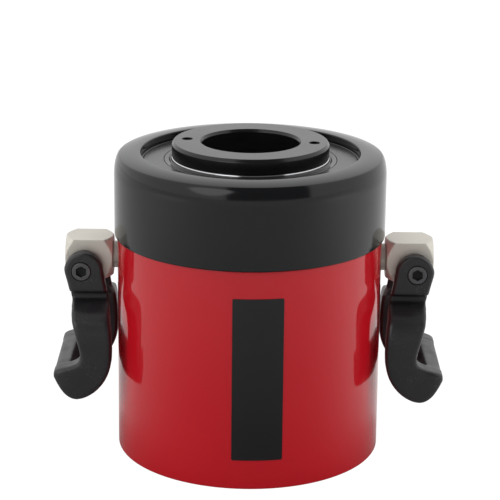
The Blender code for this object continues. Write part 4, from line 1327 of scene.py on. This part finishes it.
class CYLINDER_OT_stage(CylinderOperator):
    """Sets up the pale floor, the daylight, the soft lamps and the camera"""

    bl_idname = "cylinder.stage"
    bl_label = "Stage"

    def build(self, sizes):
        studio = sizes.studio
        self.build_floor()
        self.build_daylight(studio)
        for name, at, width, tall, power in (
            ("left_softbox", (-1.25, -0.55, 0.75), 0.9, 1.5, 11),
            ("right_softbox", (1.25, -0.35, 0.75), 0.7, 1.5, 10),
            ("overhead_softbox", (-0.1, 0.25, 1.9), 1.4, 1.1, 14),
        ):
            self.build_lamp(name, at, width, tall, power)
        camera = bpy.data.cameras.new("studio_camera")
        camera.lens = studio.focal
        camera.sensor_width = studio.sensor
        camera.shift_x, camera.shift_y = studio.shift
        camera.clip_start, camera.clip_end = 0.05, 50
        stand = bpy.data.objects.new("studio_camera", camera)
        bpy.context.scene.collection.objects.link(stand)
        at = Matrix.Translation((0, axis_y - studio.distance, studio.height))
        tilt = Matrix.Rotation(math.pi / 2 - studio.pitch, 4, "X")
        stand.matrix_world = at @ tilt @ Matrix.Rotation(studio.roll, 4, "Z")
        bpy.context.scene.camera = stand
        bpy.context.scene.view_settings.view_transform = "Standard"

    def build_floor(self):
        """A round sheet, (R cos a, R sin a, -0.1 mm), with rings that widen outwards."""
        angle = np.linspace(0, math.tau, 96, endpoint=False)[None]
        radius = np.array([0, 0.5, 1, 2, 4, 8])[:, None]
        x, y = radius * np.cos(angle), radius * np.sin(angle)
        points = np.stack(np.broadcast_arrays(x, y, -0.0001), -1)
        sheet = points.reshape(-1, 3), grid_faces(*points.shape[:2])
        floor = new_object("floor", [sheet], self.floor_material())
        if floor.data.polygons[0].normal.z < 0:
            floor.data.flip_normals()

    def floor_material(self):
        """White to the camera. In reflections its colour is darkened, painted shade in front of the
        cylinder and most of all close by, standing in for the camera's dark side of the room and
        the cylinder's own shadow on the floor."""
        mix, fill = finish("pale_floor", {"Roughness": 0.9, "Specular IOR Level": 0.1})
        x, y, distance = mix.level_place()
        in_front = (y / distance).ramp(0.35, -1.0)
        near = distance.ramp(0.85, 0.10)
        left = (x / distance).ramp(0.3, -1.0)
        # Painted shade, for reflections only: darker in front, and most of all close to the
        # cylinder.
        shade = in_front * (0.40 + 0.45 * near) + (1 - in_front) * (0.25 * left)
        far = distance.ramp(0.6, 2.0) * (1 - shade)
        glossy = mix.path("Is Glossy Ray")
        pale, dark = (0.86, 0.86, 0.86), (0.02, 0.02, 0.02)
        material = fill(Base_Color=mix.blend(glossy * shade, pale, dark))
        tree = material.node_tree
        lit = Value(mix, tree.nodes["Principled BSDF"].outputs[0])
        glow = mix.node("ShaderNodeEmission", inputs={"Strength": 1.06})
        mixed = mix.mix_shader(mix.path("Is Camera Ray") * 0.95 + glossy * far * 0.8, lit, glow)
        mix.feed(tree.nodes["Material Output"].inputs["Surface"], mixed)
        return material

    def build_daylight(self, studio):
        """White all round. Reflections also show a dark ceiling that ends in front at the horizon,
        between two straight edges, and a soft lamp in front on the left."""
        world = bpy.data.worlds.new("daylight")
        world.use_nodes = True
        bpy.context.scene.world = world
        mix = Recipe(world.node_tree)
        camera, glossy = mix.path("Is Camera Ray"), mix.path("Is Glossy Ray")
        x, y, z = mix.parts(mix.node("ShaderNodeTexCoord", output="Generated"))
        right_edge = (x + 0.5 * y).ramp(0.42, 0.48)
        left_edge = (x - 0.17 * y).ramp(-0.20, -0.14)
        ceiling = left_edge * (1 - right_edge) * (z - 3.2 * y).ramp(-0.3, 0.3)
        lamp = (z * 0.39 - x * 0.52 - y * 0.76).ramp(0.941, 0.965)
        level = camera + glossy * (1 - 0.9 * ceiling)
        level = level + (1 - camera) * (1 - glossy) * studio.daylight
        white = mix.node("ShaderNodeBackground", inputs={"Color": (1, 1, 1, 1)})
        black = mix.node("ShaderNodeBackground", inputs={"Strength": 0.0})
        glow = mix.node("ShaderNodeBackground", inputs={"Color": (1, 1, 1, 1), "Strength": 2.2})
        room = mix.mix_shader(level, black, white)
        surface = world.node_tree.nodes["World Output"].inputs["Surface"]
        mix.feed(surface, mix.mix_shader(glossy * lamp, room, glow))

    def build_lamp(self, name, at, width, tall, power):
        light = bpy.data.lights.new(name, "AREA")
        light.shape = "RECTANGLE"
        light.size, light.size_y = width, tall
        light.energy = power
        lamp = bpy.data.objects.new(name, light)
        bpy.context.scene.collection.objects.link(lamp)
        lamp.location = at
        aim = Vector((0, axis_y, 0.12)) - Vector(at)
        lamp.rotation_euler = aim.to_track_quat("-Z", "Y").to_euler()
        lamp.visible_camera = False
        lamp.visible_glossy = False


class CYLINDER_PT_panel(bpy.types.Panel):
    """Sizes and colours of the cylinder, with a button for each group of pieces"""

    bl_idname = "CYLINDER_PT_panel"
    bl_label = "Hollow plunger cylinder"
    bl_space_type = "VIEW_3D"
    bl_region_type = "UI"
    bl_category = "Cylinder"

    def draw(self, context):
        for operator in operators:
            self.layout.operator(operator.bl_idname)
        sizes = context.scene.cylinder
        for group in sizes.bl_rna.properties:
            if group.type == "POINTER" and group.identifier != "rna_type":
                box = self.layout.box()
                box.label(text=group.identifier.capitalize())
                owner = getattr(sizes, group.identifier)
                for size in owner.bl_rna.properties:
                    if size.identifier not in {"rna_type", "name"}:
                        name = size.identifier.replace("_", " ").capitalize()
                        box.prop(owner, size.identifier, text=name)


operators = (
    CYLINDER_OT_barrel,
    CYLINDER_OT_head,
    CYLINDER_OT_plunger,
    CYLINDER_OT_tube,
    CYLINDER_OT_label,
    CYLINDER_OT_hoist,
    CYLINDER_OT_bails,
    CYLINDER_OT_coupler,
    CYLINDER_OT_stage,
)
groups = (
    BarrelSizes,
    HeadSizes,
    PlungerSizes,
    LabelSizes,
    HoistSizes,
    BailSizes,
    CouplerSizes,
    Colours,
    Studio,
    CylinderSettings,
)


def register():
    for cls in (*groups, *operators, CYLINDER_PT_panel):
        bpy.utils.register_class(cls)
    bpy.types.Scene.cylinder = PointerProperty(type=CylinderSettings)


def unregister():
    del bpy.types.Scene.cylinder
    for cls in reversed((*groups, *operators, CYLINDER_PT_panel)):
        bpy.utils.unregister_class(cls)


def main():
    register()
    for operator in operators:
        group, name = operator.bl_idname.split(".")
        getattr(getattr(bpy.ops, group), name)()


if __name__ == "__main__":
    main()
